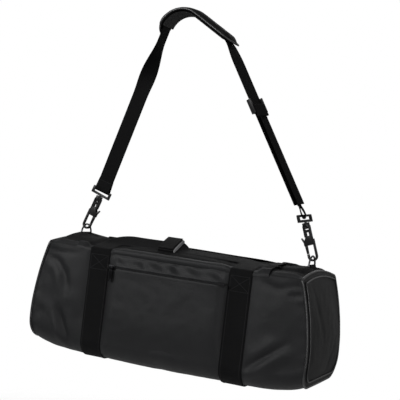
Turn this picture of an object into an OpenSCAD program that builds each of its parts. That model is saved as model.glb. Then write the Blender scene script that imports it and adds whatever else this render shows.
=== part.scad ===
// Padded carry case for a telescope, hanging from its shoulder strap.
// The origin is on the underside of the shoulder pad, where it rests on a shoulder.
// X runs along the case, +Y is the carrier's side, +Z is up.

/* [Case] */
// Length of the case along its base
case_l = 640; // [520:5:820]
// Depth of the case from front to back
case_d = 240; // [200:5:300]
// Height of the side walls
case_h = 240; // [200:5:300]
// How far each end leans in over its height
end_lean = 24; // [0:1:36]
// How far each end bulges at half height
end_bulge = 13; // [4:1:20]
// Radius of the two long edges at the base
corner_r = 40; // [25:1:60]
// Rise of the top from its edges to the middle
crown = 12; // [6:1:20]
// Thickness of the outer cloth
skin_t = 1.2; // [0.8:0.1:2]
// Thickness of the foam in the walls
foam_t = 10; // [5:0.5:14]
// Thickness of the lining
lining_t = 0.8; // [0.5:0.1:1.5]
// Thickness of the piping around the ends
piping_t = 2.5; // [1.5:0.5:4]
// Length of top that stays closed at each end
end_strip_l = 70; // [60:1:90]

/* [Handles] */
// Width of the handle webbing
web_w = 50; // [38:1:55]
// Thickness of the handle webbing
web_t = 2.4; // [1.6:0.1:3]
// Distance from the middle of the case to the middle of each riser
riser_x = 165; // [130:1:190]
// Reach of a handle from the top edge to its far side
handle_reach = 100; // [85:1:108]
// Height of a handle's far side above the top edge
handle_rise = 31; // [27:1:40]
// Length of the wrap on the front handle
wrap_l = 38; // [30:1:70]
// Place of the wrap along the front handle
wrap_x = -32; // [-60:1:60]

/* [Pocket] */
// Depth of the front pocket
pocket_d = 14; // [12:1:20]
// Height of the pocket zip above the base
pocket_zip_z = 206; // [180:1:208]
// Height of the pocket's lower edge above the base
pocket_floor_z = 44; // [42:1:80]
// Height of the band above the pocket zip
pocket_band_h = 25; // [20:1:26]

/* [Shoulder strap] */
// Width of the strap webbing
strap_w = 38; // [30:1:40]
// Thickness of the strap webbing
strap_t = 2.2; // [1.6:0.1:2.6]
// Length of the shoulder pad's flat run past the shoulder
pad_run = 115; // [90:1:130]
// Width of the shoulder pad
pad_w = 60; // [50:1:75]
// Thickness of the shoulder pad's foam
pad_foam_t = 10; // [6:0.5:14]
// Distance of the strap adjuster up the right leg from the eye
adjuster_s = 262; // [200:1:300]
// Turn of the right leg's webbing away from square to the case
right_turn = 18; // [0:1:25]

/* [Hardware] */
// Distance from each ring to the end of the case
ring_inset = 44; // [41:1:58]
// Radius of the ring wire
ring_wire_r = 2; // [1.6:0.1:2.2]
// Inside width of each ring
ring_in_w = 40; // [39:0.5:44]
// Length of each snap hook from the ring to the strap bar
hook_l = 88; // [84:1:100]
// Lean of each snap hook from upright
hook_lean = 20; // [15:0.5:27]
// Thickness of the snap hooks' crooks
crook_t = 5.5; // [4:0.1:6]

/* [Hidden] */
$fn = 64;
gap = 0.3;                                  // clearance between pieces that move past each other
far = 2 * case_l;                           // longer than any cut needs to reach
cloth = [0.10, 0.10, 0.11];
webbing = [0.06, 0.06, 0.065];
padding = [0.30, 0.30, 0.32];
plastic = [0.05, 0.05, 0.05];
metal = [0.45, 0.46, 0.48];

// Case
flap_t = skin_t + foam_t;
wall_t = flap_t + lining_t;
roof_r = pow(case_d / 2, 2) / (2 * crown) + crown / 2;
roof_z = case_h + crown - roof_r;           // height of the top's centre of curvature
top_z = case_h + crown;                     // height of the top at the middle
rim_z = case_h - 2;                         // height of the outer cloth's top edge
foam_top_z = case_h - flap_t - 1;
strip_x = case_l / 2 - end_lean - end_strip_l;
flap_x = strip_x - 1;
ring_x = case_l / 2 - ring_inset;           // distance from each ring to the middle of the case
flap_y = case_d / 2 - skin_t - 0.5;
cover_y = 6;                                // edge of the top cloth beside the zip
tape_y = 14;                                // edge of the foam beside the zip
teeth_y = [0.6, 2.6];
tape_t = 1;
function end_x(z) = case_l / 2 - end_lean * z / case_h + end_bulge * 4 * z / case_h * (1 - z / case_h);

function roof_at(y) = roof_z + sqrt(roof_r * roof_r - y * y);

// Hinge line of a flap and its handle, for the front; the back mirrors it
hinge_y = case_d / 2 + web_t / 2;
hinge_z = case_h + 1.2;
handle_y = hinge_y - handle_reach + 6;      // far side of a handle when it lies on the top
handle_mid_y = hinge_y - handle_reach / 2;  // near side of its grip
grip_lift = 3.94;                           // height of the grip's near side above the top
handle_mid_z = roof_at(handle_mid_y) + grip_lift;
handle_z = hinge_z + handle_rise;
grip_lean = atan2(handle_z - handle_mid_z, handle_mid_y - handle_y);

// Zip sliders
slider_l = 15;
slider_w = 9;
zip_z = top_z - skin_t;                     // top of the zip's tape
zip_end_l = 44;                             // length of zip on each closed end of the top
zip_park_x = -(ring_x - 14);
pull_l = 30;
pull_w = 8;
pin_r = 0.8;
pocket_park_x = -(riser_x - web_w / 2 - 15);
pocket_y = -case_d / 2 - pocket_d;          // the pocket's front
pocket_x = riser_x - web_w / 2 - 0.6;
pocket_mouth = 3;                           // half height of the slot that the pocket zip fills

// Rings and hooks
ring_r = ring_in_w / 2 + ring_wire_r;
ring_bar_z = top_z + 9;
ring_z = ring_bar_z + ring_r;               // height at which a hook holds its ring
tab_w = strap_w;
tab_r = 4.6;
crook_r = 6.5;                              // inside radius of a hook's crook
crook_wall = 4.5;
slot_z = 24;                                // top of the crook's slot above the ring
gate_pin = [9, 28];
gate_pin_r = 1.2;
bar_r = 2.5;                                // bar of an eye that the strap goes round
eye_w = strap_w + 12;
stem_r = 2.6;
head_r = 4.2;
cap_z = hook_l - 24;                        // underside of the cap that the stem turns in
left_point = [-ring_x, ring_z];
right_point = [ring_x, ring_z];
hook_dir = [sin(hook_lean), cos(hook_lean)];
left_bar = left_point + hook_l * hook_dir;
right_bar = right_point + hook_l * [-hook_dir[0], hook_dir[1]];

// Strap route in X and Z: bar, corner over the shoulder, corner at the neck, bar
shoulder_corner = [-111, 814];
shoulder_r = 51;
neck_corner = [28, 727];
neck_r = 60;
twist_z = [590, 722];                       // heights between which the left leg's webbing turns

function unit(v) = v / norm(v);
function turn_between(a, b) = acos(unit(a) * unit(b));
// One rounded corner as points: from the leg that comes in to the leg that goes out
function corner_points(a, p, b, r, n) =
    let (u = unit(p - a), w = unit(b - p), half = turn_between(u, w) / 2, reach = r * tan(half),
         centre = p + unit(w - u) * r / cos(half), start = p - u * reach - centre)
    [for (i = [0 : n]) let (t = -2 * half * i / n)
        centre + [start[0] * cos(t) - start[1] * sin(t), start[0] * sin(t) + start[1] * cos(t)]];
function line_points(a, b, n) = [for (i = [0 : n - 1]) a + (b - a) * i / n];
function last(v) = v[len(v) - 1];
function ease(t) = let (c = min(1, max(0, t))) c * c * (3 - 2 * c);

shoulder_arc = corner_points(left_bar, shoulder_corner, neck_corner, shoulder_r, 14);
neck_arc = corner_points(shoulder_corner, neck_corner, right_bar, neck_r, 4);
right_dir = unit(neck_corner - right_bar);
right_lean = atan2(right_dir[0], right_dir[1]);
left_dir = unit(shoulder_corner - left_bar);
loop_l = 26;                                // length of a sewn loop above its bar
loop_gap = 1.6;                             // room between the end of a loop and the strap
left_start = left_bar + left_dir * (loop_l + loop_gap);
right_end = right_bar + right_dir * (loop_l + loop_gap);
over_dir = unit(neck_corner - shoulder_corner);
arc_centre = shoulder_corner
    + unit(over_dir - left_dir) * shoulder_r / cos(turn_between(left_dir, over_dir) / 2);
backing_t = 1.6;
cover_t = 1.4;
rest_point = [arc_centre[0], 0, arc_centre[1] + shoulder_r - strap_t / 2 - backing_t];
strap_points = concat(line_points(left_start, shoulder_arc[0], 26), shoulder_arc,
    line_points(last(shoulder_arc), neck_arc[0], 5), neck_arc,
    [for (i = [1 : 14]) last(neck_arc) + (right_end - last(neck_arc)) * i / 14]);
function turn_at(p) = p[0] < shoulder_arc[0][0]
    ? 180 - 90 * ease((p[1] - twist_z[0]) / (twist_z[1] - twist_z[0]))
    : 90 - right_turn * ease((p[0] - neck_arc[0][0]) / 40);
pad_start = shoulder_arc[0] - left_dir * 14;
pad_end = shoulder_arc[14] + over_dir * pad_run;
pad_points = concat([pad_start, (pad_start + shoulder_arc[0]) / 2], shoulder_arc,
    [for (i = [1 : 6]) shoulder_arc[14] + (pad_end - shoulder_arc[14]) * i / 6]);
adjuster_at = right_bar + right_dir * adjuster_s;

// Stands a shape drawn about the case's base in the part's frame
module placed() translate(-rest_point) children();
module left_hook_frame() translate([left_point[0], 0, left_point[1]]) rotate([0, hook_lean, 0]) children();
module right_hook_frame() translate([right_point[0], 0, right_point[1]]) rotate([0, -hook_lean, 0]) children();
// A frame on the right leg: Z up the leg, Y across the webbing, X outwards
module right_leg_frame(p) translate([p[0], 0, p[1]]) rotate([0, right_lean, 0])
    rotate([0, 0, -right_turn]) children();

// A flat strip swept along points in X and Z, moved outwards by lift, and turned about its own line
module ribbon(points, w, t, lift, turns) {
    n = len(points);
    function along(i) = unit(points[min(i + 1, n - 1)] - points[max(i - 1, 0)]);
    function corner(i, a, b) =
        let (u = along(i), out = [-u[1], 0, u[0]], side = [0, 1, 0], q = turns[i],
             wide = out * cos(q) + side * sin(q), thick = out * sin(q) - side * cos(q))
        [points[i][0], 0, points[i][1]] + wide * a * w / 2 + thick * (lift + b * t / 2);
    polyhedron(
        [for (i = [0 : n - 1]) each [corner(i, -1, -1), corner(i, 1, -1), corner(i, 1, 1), corner(i, -1, 1)]],
        concat([[3, 2, 1, 0]], [[4 * n - 4, 4 * n - 3, 4 * n - 2, 4 * n - 1]],
            [for (i = [0 : n - 2]) for (j = [0 : 3]) let (k = 4 * i, m = (j + 1) % 4)
                each [[k + j, k + m, k + 4 + m], [k + j, k + 4 + m, k + 4 + j]]]),
        convexity = 10);
}

// Cross-section of the case in Y and Z, drawn in X and Y; i is how far it is set in
module section(i, top) {
    hw = case_d / 2 - i;
    r = corner_r - i;
    translate([-hw, corner_r]) square([2 * hw, top - corner_r]);
    translate([r - hw, i]) square([2 * (hw - r), top - i]);
    for (s = [-1, 1]) translate([s * (hw - r), corner_r]) circle(r);
}
module roof_disc(i) translate([0, roof_z]) circle(roof_r - i, $fn = 360);
module full_section(i) intersection() {
    section(i, far);
    roof_disc(i);
}
// Outline of the case in X and Z; i is how far the ends are set in
module outline(i) {
    zs = [for (k = [-1 : 11]) case_h * k / 10];
    polygon(concat([for (z = zs) [end_x(z) - i, z]], [for (k = [12 : -1 : 0]) [i - end_x(zs[k]), zs[k]]]));
}
module along_x(l = far) rotate([90, 0, 90]) linear_extrude(l, center = true) children();
module along_y(l = far) rotate([90, 0, 0]) linear_extrude(l, center = true) children();
module wrap(a, b, top) intersection() {
    along_x() difference() {
        section(a, top);
        section(b, far);
    }
    along_y() outline(a);
}
module end_wall(side, a, b, inside) intersection() {
    along_x() full_section(inside);
    along_y() intersection() {
        difference() {
            outline(a);
            outline(b);
        }
        translate([side > 0 ? 0 : -far, -far / 2]) square([far, far]);
    }
}
// A layer of the top between depths a and b, from y0 to y1 and x0 to x1
module roof_layer(a, b, x, y) intersection() {
    along_x() difference() {
        roof_disc(a);
        roof_disc(b);
    }
    translate([x[0], y[0], case_h / 2]) cube([x[1] - x[0], y[1] - y[0], case_h]);
}

module body_wrap() color(cloth) placed() wrap(0, skin_t, rim_z);
module end_panel(side) color(cloth) placed() end_wall(side, 0, skin_t, flap_t + gap);
module end_foam(side) color(padding) placed() end_wall(side, skin_t, flap_t, flap_t + gap);
// One of the three foam pieces of the wrap, cut from its neighbours on the lines through the base edges
module wall_foam(which) color(padding) placed() intersection() {
    difference() {
        wrap(skin_t, flap_t, foam_top_z);
        for (side = [-1, 1]) end_wall(side, -end_bulge, flap_t, -1);
    }
    along_x() {
        reach = case_h;
        y = case_d / 2 - corner_r;
        low = corner_r - reach;
        if (which == "front") polygon([[-y, corner_r], [-y - reach, low], [-y - reach, far], [-y, far]]);
        if (which == "back") polygon([[y, corner_r], [y + reach, low], [y + reach, far], [y, far]]);
        if (which == "base") polygon([[-y, corner_r], [-y - reach, low], [y + reach, low], [y, corner_r]]);
    }
}
module lining() color([0.2, 0.2, 0.22]) placed() {
    intersection() {
        wrap(flap_t, wall_t, foam_top_z);
        along_y() outline(flap_t);
    }
    for (side = [-1, 1]) intersection() {
        end_wall(side, flap_t, wall_t, wall_t);
        translate([-far / 2, -far / 2, 0]) cube([far, far, foam_top_z]);
    }
}
module top_strip(side) color(cloth) placed() {
    x = side > 0 ? [strip_x, far / 2] : [-far / 2, -strip_x];
    slot_x = side * (strip_x + zip_end_l / 2) - zip_end_l / 2 - 2;
    intersection() {
        along_y() outline(0);
        for (s = [-1, 1]) {
            half = s > 0 ? [0, flap_y] : [-flap_y, 0];
            difference() {
                roof_layer(0, flap_t, x, half);
                translate([slot_x, (s - 1) * tape_y / 2 - 0.01, case_h / 2])
                    cube([zip_end_l + 2.02, tape_y + 0.02, zip_z - case_h / 2]);
                translate([slot_x, (s - 1) * cover_y / 2 - 0.01, case_h / 2])
                    cube([zip_end_l + 2.02, cover_y + 0.02, case_h]);
            }
        }
    }
}
module piping(side) color(webbing) placed() intersection() {
    along_x() difference() {
        full_section(-piping_t);
        full_section(0);
    }
    along_y() intersection() {
        difference() {
            outline(0);
            outline(2 * piping_t);
        }
        translate([side > 0 ? 0 : -far, -far / 2]) square([far, far]);
    }
}
module riser(side) color(webbing) placed() intersection() {
    along_x() difference() {
        section(-web_t, rim_z - 1);
        section(0, far);
    }
    translate([side * riser_x - web_w / 2, -far / 2, -far / 2]) cube([web_w, far, far]);
}

module pocket_panel() color(cloth) placed() difference() {
    translate([-pocket_x, pocket_y, pocket_floor_z])
        cube([2 * pocket_x, pocket_d - 0.05, pocket_zip_z - pocket_mouth - pocket_floor_z]);
    translate([-pocket_x + skin_t, pocket_y + skin_t, pocket_floor_z + skin_t])
        cube([2 * (pocket_x - skin_t), pocket_d, case_h]);
}
module pocket_band() color(cloth) placed() translate([-pocket_x, pocket_y, pocket_zip_z + pocket_mouth]) {
    tall = pocket_band_h - pocket_mouth;
    difference() {
        cube([2 * pocket_x, pocket_d - 0.05, tall]);
        translate([skin_t, skin_t, -1]) cube([2 * (pocket_x - skin_t), pocket_d, tall + 1 - skin_t]);
    }
}
module pocket_zip() color(plastic) placed() for (s = [-1, 1]) {
    low = s > 0 ? teeth_y[1] : -pocket_mouth;
    teeth_low = s > 0 ? teeth_y[0] : -teeth_y[1];
    translate([-pocket_x + skin_t, pocket_y + skin_t - tape_t, pocket_zip_z + low])
        cube([2 * (pocket_x - skin_t), tape_t, pocket_mouth - teeth_y[1]]);
    translate([-pocket_x + skin_t, pocket_y + skin_t - tape_t - 1, pocket_zip_z + teeth_low])
        cube([2 * (pocket_x - skin_t), tape_t + 2, teeth_y[1] - teeth_y[0]]);
}

// Tape and teeth of one half of the top zip; s is 1 at the back and -1 at the front
module zip_half(s, x) {
    roof_layer(skin_t, skin_t + tape_t, x, s > 0 ? [teeth_y[1], tape_y] : [-tape_y, -teeth_y[1]]);
    roof_layer(skin_t - 0.9, skin_t + tape_t + 1, x, s > 0 ? teeth_y : [-teeth_y[1], -teeth_y[0]]);
}
module zip_ends() color(plastic) placed() for (side = [-1, 1]) {
    x = side > 0 ? [strip_x, strip_x + zip_end_l] : [-strip_x - zip_end_l, -strip_x];
    for (s = [-1, 1]) zip_half(s, x);
}
module flap_cover(s) color(cloth) placed()
    roof_layer(0, skin_t, [-flap_x, flap_x], s > 0 ? [cover_y, flap_y] : [-flap_y, -cover_y]);
module flap_foam(s) color(padding) placed()
    roof_layer(skin_t, flap_t, [-flap_x, flap_x], s > 0 ? [tape_y, flap_y] : [-flap_y, -tape_y]);
module flap_tape(s) color(plastic) placed() zip_half(s, [-flap_x, flap_x]);

// A zip slider at the origin: the teeth run along X with their middle at z = 0
// pin_turn turns the pull's pin from Y
module slider(pin_turn) {
    half_t = (tape_t + 2) / 2 + gap;
    for (z = [half_t, -half_t - 1.5])
        translate([-slider_l / 2, -slider_w / 2, z]) cube([slider_l, slider_w, 1.5]);
    translate([-slider_l / 2, -0.35, -half_t]) cube([4, 0.7, 2 * half_t]);
    rotate([0, 0, pin_turn]) {
        for (s = [-1, 1]) translate([-2, s * 3.4 - 0.6, half_t + 1.5]) cube([4, 1.2, 3.2]);
        translate([0, 0, half_t + 3.3]) rotate([90, 0, 0]) cylinder(r = pin_r, h = 6.4, center = true);
    }
}
pull_z = (tape_t + 2) / 2 + gap + 3.3;       // height of the pull's pin above the teeth
module pull() translate([0, 0, pull_z]) difference() {
    union() {
        rotate([90, 0, 0]) cylinder(r = 1.6, h = 5, center = true);
        translate([0, -2.5, -0.8]) cube([8, 5, 1.6]);
        translate([7, -pull_w / 2, -1]) cube([pull_l - 7, pull_w, 2]);
    }
    rotate([90, 0, 0]) cylinder(r = pin_r + 0.15, h = pull_w, center = true);
    translate([pull_l - 4, 0, -2]) cylinder(r = 1.5, h = 4);
}
teeth_mid_z = top_z - skin_t - (tape_t + 0.1) / 2;
module top_slider_frame() translate([zip_park_x, 0, teeth_mid_z]) children();
module pocket_slider_frame() translate([pocket_park_x, pocket_y + skin_t - tape_t / 2, pocket_zip_z])
    rotate([90, 0, 0]) children();
module zip_slider() color(metal) placed() top_slider_frame() slider(0);
module zip_pull() color(metal) placed() top_slider_frame() pull();
module pocket_slider() color(metal) placed() pocket_slider_frame() slider(90);
module pocket_pull() color(metal) placed() pocket_slider_frame() rotate([0, 0, -90]) pull();

// Handle webbing, drawn for the back (s = 1) or the front (s = -1)
module handle_profile() {
    t = web_t / 2;
    a = [hinge_y, hinge_z];
    b = [handle_mid_y, handle_mid_z];
    c = [handle_y, handle_z];
    polygon([a + [0, -t * 0.2], b + [0, -t], c + [0, -t], c + [0, t], b + [0, t], a + [0, t]]);
}
module handle_band(y0, y1, x0, x1) intersection() {
    along_x() handle_profile();
    translate([x0, y0, 0]) cube([x1 - x0, y1 - y0, far]);
}
module handle(s) color(webbing) placed() mirror([0, s > 0 ? 0 : 1, 0]) {
    handle_band(handle_y, handle_mid_y, -riser_x - web_w / 2, riser_x + web_w / 2);
    for (side = [-1, 1])
        handle_band(handle_mid_y, hinge_y, side * riser_x - web_w / 2, side * riser_x + web_w / 2);
}
// A frame on the front handle's grip: X along it, Y across it, away from the hinge, Z out of its face
module grip_frame() translate([wrap_x, -(handle_y + handle_mid_y) / 2, (handle_z + handle_mid_z) / 2])
    rotate([grip_lean, 0, 0]) children();
grip_w = norm([handle_mid_y - handle_y, handle_z - handle_mid_z]);
wrap_w = grip_w + 7;
wrap_low = -web_t / 2 - gap - 1.2;            // underside and top of the wrap, from the grip's middle
wrap_top = 8.3;
module handle_wrap() color(webbing) placed() grip_frame() difference() {
    translate([-wrap_l / 2, -wrap_w / 2, wrap_low]) cube([wrap_l, wrap_w, wrap_top - wrap_low]);
    cube([wrap_l + 1, grip_w + 2, web_t + 2 * gap], center = true);
}
module wrap_flap() color(webbing) placed() grip_frame()
    translate([-wrap_l / 2, -wrap_w / 2, wrap_top + gap]) cube([wrap_l, wrap_w - 1, 1.6]);

module ring_tab(side) color(webbing) placed() difference() {
    translate([side * ring_x, 0, 0]) rotate([90, 0, 0]) linear_extrude(tab_w, center = true) difference() {
        union() {
            translate([0, ring_bar_z]) circle(tab_r);
            translate([-tab_r, top_z - 8]) square([2 * tab_r, ring_bar_z - top_z + 8]);
        }
        translate([0, ring_bar_z]) circle(ring_wire_r + gap);
    }
    along_x() roof_disc(-0.02);
}
module ring(side) color(metal) placed() translate([side * ring_x, 0, ring_bar_z]) rotate([90, 0, 90]) {
    rotate_extrude(angle = 180) translate([ring_r, 0]) circle(ring_wire_r);
    rotate([0, 90, 0]) cylinder(r = ring_wire_r, h = 2 * ring_r, center = true);
    for (s = [-1, 1]) translate([s * ring_r, 0, 0]) sphere(ring_wire_r);
}

// Snap hook, upright, with the ring at the origin and the gate at +X
module hook() {
    top = cap_z + 8;
    rotate([90, 0, 0]) linear_extrude(crook_t, center = true) {
        difference() {
            circle(crook_r + crook_wall);
            circle(crook_r);
            translate([-far / 2, 0]) square([far, far]);
        }
        translate([-crook_r - crook_wall, 0]) square([crook_wall, slot_z + 12]);
        translate([crook_r, 0]) square([crook_wall, 6]);
        polygon([[-crook_r, slot_z], [4.2, slot_z], [4.2, slot_z + 18], [-crook_r, slot_z + 18]]);
    }
    for (s = [-1, 1]) translate([0, s * 3.85, 0]) rotate([90, 0, 0]) linear_extrude(1.7, center = true)
        polygon([[-8, slot_z], [gate_pin[0] + 3.4, slot_z], [gate_pin[0] + 3.4, gate_pin[1] + 4],
            [6, slot_z + 18], [-8, slot_z + 18]]);
    translate([gate_pin[0], 0, gate_pin[1]]) rotate([90, 0, 0]) cylinder(r = gate_pin_r, h = 7, center = true);
    difference() {
        union() {
            translate([-8, -4.7, slot_z + 18]) cube([16, 9.4, cap_z + 2 - slot_z - 18]);
            translate([0, 0, cap_z - 8]) cylinder(r = 8, h = top - cap_z + 8);
        }
        translate([-head_r - 0.8, -far / 2, cap_z - 7]) cube([2 * head_r + 1.6, far, 7]);
        cylinder(r = stem_r + gap, h = top + 1);
        translate([-3, -far / 2, slot_z + 20]) cube([6, far, 8]);
    }
}
module gate() difference() {
    rotate([90, 0, 0]) linear_extrude(crook_t - 0.5, center = true) difference() {
        union() {
            translate(gate_pin) circle(3.2);
            polygon([[crook_r + 0.2, 6.6], [crook_r + crook_wall, 6.6], [12.2, gate_pin[1]],
                [17, 41], [14.6, 42.5], [gate_pin[0], gate_pin[1] + 3], [6.2, gate_pin[1]]]);
        }
        translate(gate_pin) circle(gate_pin_r + 0.12);
    }
}
// Eye of a snap hook: its bar lies along Y at the origin, its stem points down
module eye() {
    rotate([90, 0, 0]) cylinder(r = bar_r, h = eye_w, center = true);
    for (s = [-1, 1]) {
        translate([-bar_r, s * (eye_w / 2 - 2.5) - 2.5, -14]) cube([2 * bar_r, 5, 14]);
    }
    translate([-bar_r, -eye_w / 2, -14]) cube([2 * bar_r, eye_w, 5]);
    translate([0, 0, -14 - 11]) cylinder(r = stem_r, h = 12);
    translate([0, 0, -14 - 14.5]) cylinder(r = head_r, h = 3.6);
}
// Webbing sewn round a bar that lies along Y, leaning by lean towards X
module loop_outline() {
    half_t = strap_t + 0.1;
    difference() {
        union() {
            circle(bar_r + half_t);
            polygon([[-bar_r - strap_t, 0], [-half_t, loop_l], [half_t, loop_l], [bar_r + strap_t, 0]]);
        }
        circle(bar_r + 0.05);
    }
}
module strap_loop(lean) rotate([0, lean, 0]) rotate([90, 0, 0])
    linear_extrude(strap_w, center = true) loop_outline();
module left_eye_frame() left_hook_frame() translate([0, 0, hook_l]) rotate([0, 0, 90]) children();
module right_eye_frame() right_hook_frame() translate([0, 0, hook_l]) rotate([0, 0, -right_turn]) children();
module left_eye() color(plastic) placed() left_eye_frame() eye();
module right_eye() color(plastic) placed() right_eye_frame() eye();
module left_hook() color(plastic) placed() left_hook_frame() hook();
module left_gate() color(plastic) placed() left_hook_frame() gate();
module right_hook() color(plastic) placed() right_hook_frame() mirror([1, 0, 0]) hook();
module right_gate() color(plastic) placed() right_hook_frame() mirror([1, 0, 0]) gate();
module left_strap_loop() color(webbing) placed() left_eye_frame() strap_loop(0);
module right_strap_loop() color(webbing) placed() right_eye_frame() strap_loop(right_lean + hook_lean);

module shoulder_strap() color(webbing) placed()
    ribbon(strap_points, strap_w, strap_t, 0, [for (p = strap_points) turn_at(p)]);
return_gap = strap_t + 0.2;
module strap_return() color(webbing) placed() right_leg_frame(right_bar)
    translate([return_gap - strap_t / 2, -strap_w / 2, loop_l + loop_gap])
        cube([strap_t, strap_w, adjuster_s - loop_l - loop_gap - 28]);
module pad_layer(w, t, lift) ribbon(pad_points, w, t, lift, [for (p = pad_points) 90]);
module pad_cover() color(cloth) placed() pad_layer(pad_w, cover_t, strap_t / 2 + pad_foam_t + cover_t / 2);
module pad_foam() color(padding) placed() pad_layer(pad_w - 4, pad_foam_t, strap_t / 2 + pad_foam_t / 2);
module pad_backing() color(cloth) placed()
    ribbon([for (i = [1 : len(pad_points) - 4]) pad_points[i]], pad_w - 6, backing_t,
        -strap_t / 2 - backing_t / 2,
        [for (p = pad_points) 90]);
// Three-bar adjuster: the strap runs straight through, under the raised middle bar
adjuster_bar_r = 1.8;
adjuster_l = 34;
module strap_adjuster() color(plastic) placed() right_leg_frame(adjuster_at) {
    off = strap_t / 2 + 0.4 + adjuster_bar_r;
    for (s = [-1, 1]) {
        translate([-off - adjuster_bar_r, s * (strap_w / 2 + 2.4) - 1.8, -adjuster_l / 2])
            cube([2 * (off + adjuster_bar_r), 3.6, adjuster_l]);
        translate([-off, 0, s * (adjuster_l / 2 - adjuster_bar_r)]) rotate([90, 0, 0])
            cylinder(r = adjuster_bar_r, h = strap_w + 3, center = true);
    }
    translate([off, 0, 0]) rotate([90, 0, 0]) cylinder(r = adjuster_bar_r, h = strap_w + 3, center = true);
}
module adjuster_loop() color(webbing) placed() right_leg_frame(adjuster_at) {
    off = strap_t / 2 + 0.4 + adjuster_bar_r;
    translate([off, 0, 0]) rotate([90, 0, 0]) linear_extrude(strap_w - 0.5, center = true) difference() {
        union() {
            circle(adjuster_bar_r + 1.9);
            translate([-0.2, -26]) square([adjuster_bar_r + 2.1, 26]);
        }
        circle(adjuster_bar_r + 0.1);
        translate([-far - off + strap_t / 2 + 0.2, -far / 2]) square([far, far]);
    }
}

shoulder_strap();
strap_return();
left_strap_loop();
right_strap_loop();
left_eye();
right_eye();
pad_cover();
pad_foam();
pad_backing();
body_wrap();
end_panel(-1);  // left_end_panel
end_panel(1);  // right_end_panel
wall_foam("front");  // front_foam
wall_foam("back");  // back_foam
wall_foam("base");  // base_foam
end_foam(-1);  // left_foam
end_foam(1);  // right_foam
lining();
top_strip(-1);  // left_top_strip
top_strip(1);  // right_top_strip
piping(-1);  // left_piping
piping(1);  // right_piping
riser(-1);  // left_webbing
riser(1);  // right_webbing
pocket_panel();
pocket_band();
pocket_zip();
zip_ends();
ring_tab(-1);  // left_ring_tab
ring_tab(1);  // right_ring_tab
flap_cover(-1);  // front_flap_cover
flap_foam(-1);  // front_flap_foam
flap_tape(-1);  // front_zip_tape
flap_cover(1);  // back_flap_cover
flap_foam(1);  // back_flap_foam
flap_tape(1);  // back_zip_tape
handle(-1);  // front_handle
handle_wrap();
wrap_flap();
handle(1);  // back_handle
zip_slider();
zip_pull();
pocket_slider();
pocket_pull();
ring(-1);  // left_ring
ring(1);  // right_ring
left_hook();
right_hook();
left_gate();
right_gate();
strap_adjuster();
adjuster_loop();
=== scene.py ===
import math

import bmesh
import bpy
from mathutils import Matrix, Vector, noise


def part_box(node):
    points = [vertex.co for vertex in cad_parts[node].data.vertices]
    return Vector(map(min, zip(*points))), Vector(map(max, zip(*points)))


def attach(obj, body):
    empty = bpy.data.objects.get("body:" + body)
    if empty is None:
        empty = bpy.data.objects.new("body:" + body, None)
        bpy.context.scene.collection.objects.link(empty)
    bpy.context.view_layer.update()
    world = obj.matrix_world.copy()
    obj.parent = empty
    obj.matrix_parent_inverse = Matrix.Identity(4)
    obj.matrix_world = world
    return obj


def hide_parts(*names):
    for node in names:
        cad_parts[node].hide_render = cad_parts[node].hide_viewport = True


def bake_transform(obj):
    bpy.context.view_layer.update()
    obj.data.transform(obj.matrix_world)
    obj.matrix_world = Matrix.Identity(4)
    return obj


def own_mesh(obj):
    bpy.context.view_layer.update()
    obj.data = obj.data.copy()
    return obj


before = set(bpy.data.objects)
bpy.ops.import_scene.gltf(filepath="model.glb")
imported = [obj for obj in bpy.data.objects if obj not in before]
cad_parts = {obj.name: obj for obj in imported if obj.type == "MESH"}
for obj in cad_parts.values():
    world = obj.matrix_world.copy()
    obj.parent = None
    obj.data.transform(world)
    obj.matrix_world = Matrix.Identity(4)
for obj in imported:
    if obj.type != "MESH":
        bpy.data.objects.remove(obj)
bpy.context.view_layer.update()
mm = 0.001

# Sizes are in millimetres about the middle of the case's base; at() places them in the part's frame
case = dict(length=640, depth=240, height=240, endLean=24, endBulge=13, corner=40, crown=12,
            rim=238, skin=1.2, stripX=226, coverY=6)
wrapLow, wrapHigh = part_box("body_wrap")
caseBase = Vector(((wrapLow[0] + wrapHigh[0]) / 2, (wrapLow[1] + wrapHigh[1]) / 2, wrapLow[2]))


def at(x, y, z):
    return caseBase + Vector((x, y, z)) * mm


def local(point):
    # The way back: millimetres about the case's base
    return (point - caseBase) / mm


def clamp(t, low=0.0, high=1.0):
    return max(low, min(high, t))


def ease(t):
    t = clamp(t)
    return t * t * (3 - 2 * t)


def bell(t):
    return math.exp(-t * t)


def mix(a, b, t):
    return a + (b - a) * t


def signedPower(t, power):
    return math.copysign(abs(t) ** power, t)


leftRight = ((-1, "left"), (1, "right"))
frontBack = ((-1, "front"), (1, "back"))


# Materials

def newMaterial(name):
    made = bpy.data.materials.new(name)
    made.use_nodes = True
    tree = made.node_tree
    tree.nodes.clear()
    output = tree.nodes.new("ShaderNodeOutputMaterial")
    shader = tree.nodes.new("ShaderNodeBsdfPrincipled")
    tree.links.new(shader.outputs[0], output.inputs[0])
    return made, tree, shader


def addNode(tree, kind, sockets=None, **settings):
    made = tree.nodes.new("ShaderNode" + kind)
    for key, value in settings.items():
        setattr(made, key, value)
    for key, value in (sockets or {}).items():
        if isinstance(value, bpy.types.NodeSocket):
            tree.links.new(value, made.inputs[key])
        else:
            made.inputs[key].default_value = value
    return made


def maths(tree, operation, a, b=0.0):
    return addNode(tree, "Math", {0: a, 1: b}, operation=operation).outputs[0]


def setFinish(shader, **values):
    for key, value in values.items():
        shader.inputs[key.replace("_", " ")].default_value = value


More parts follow.
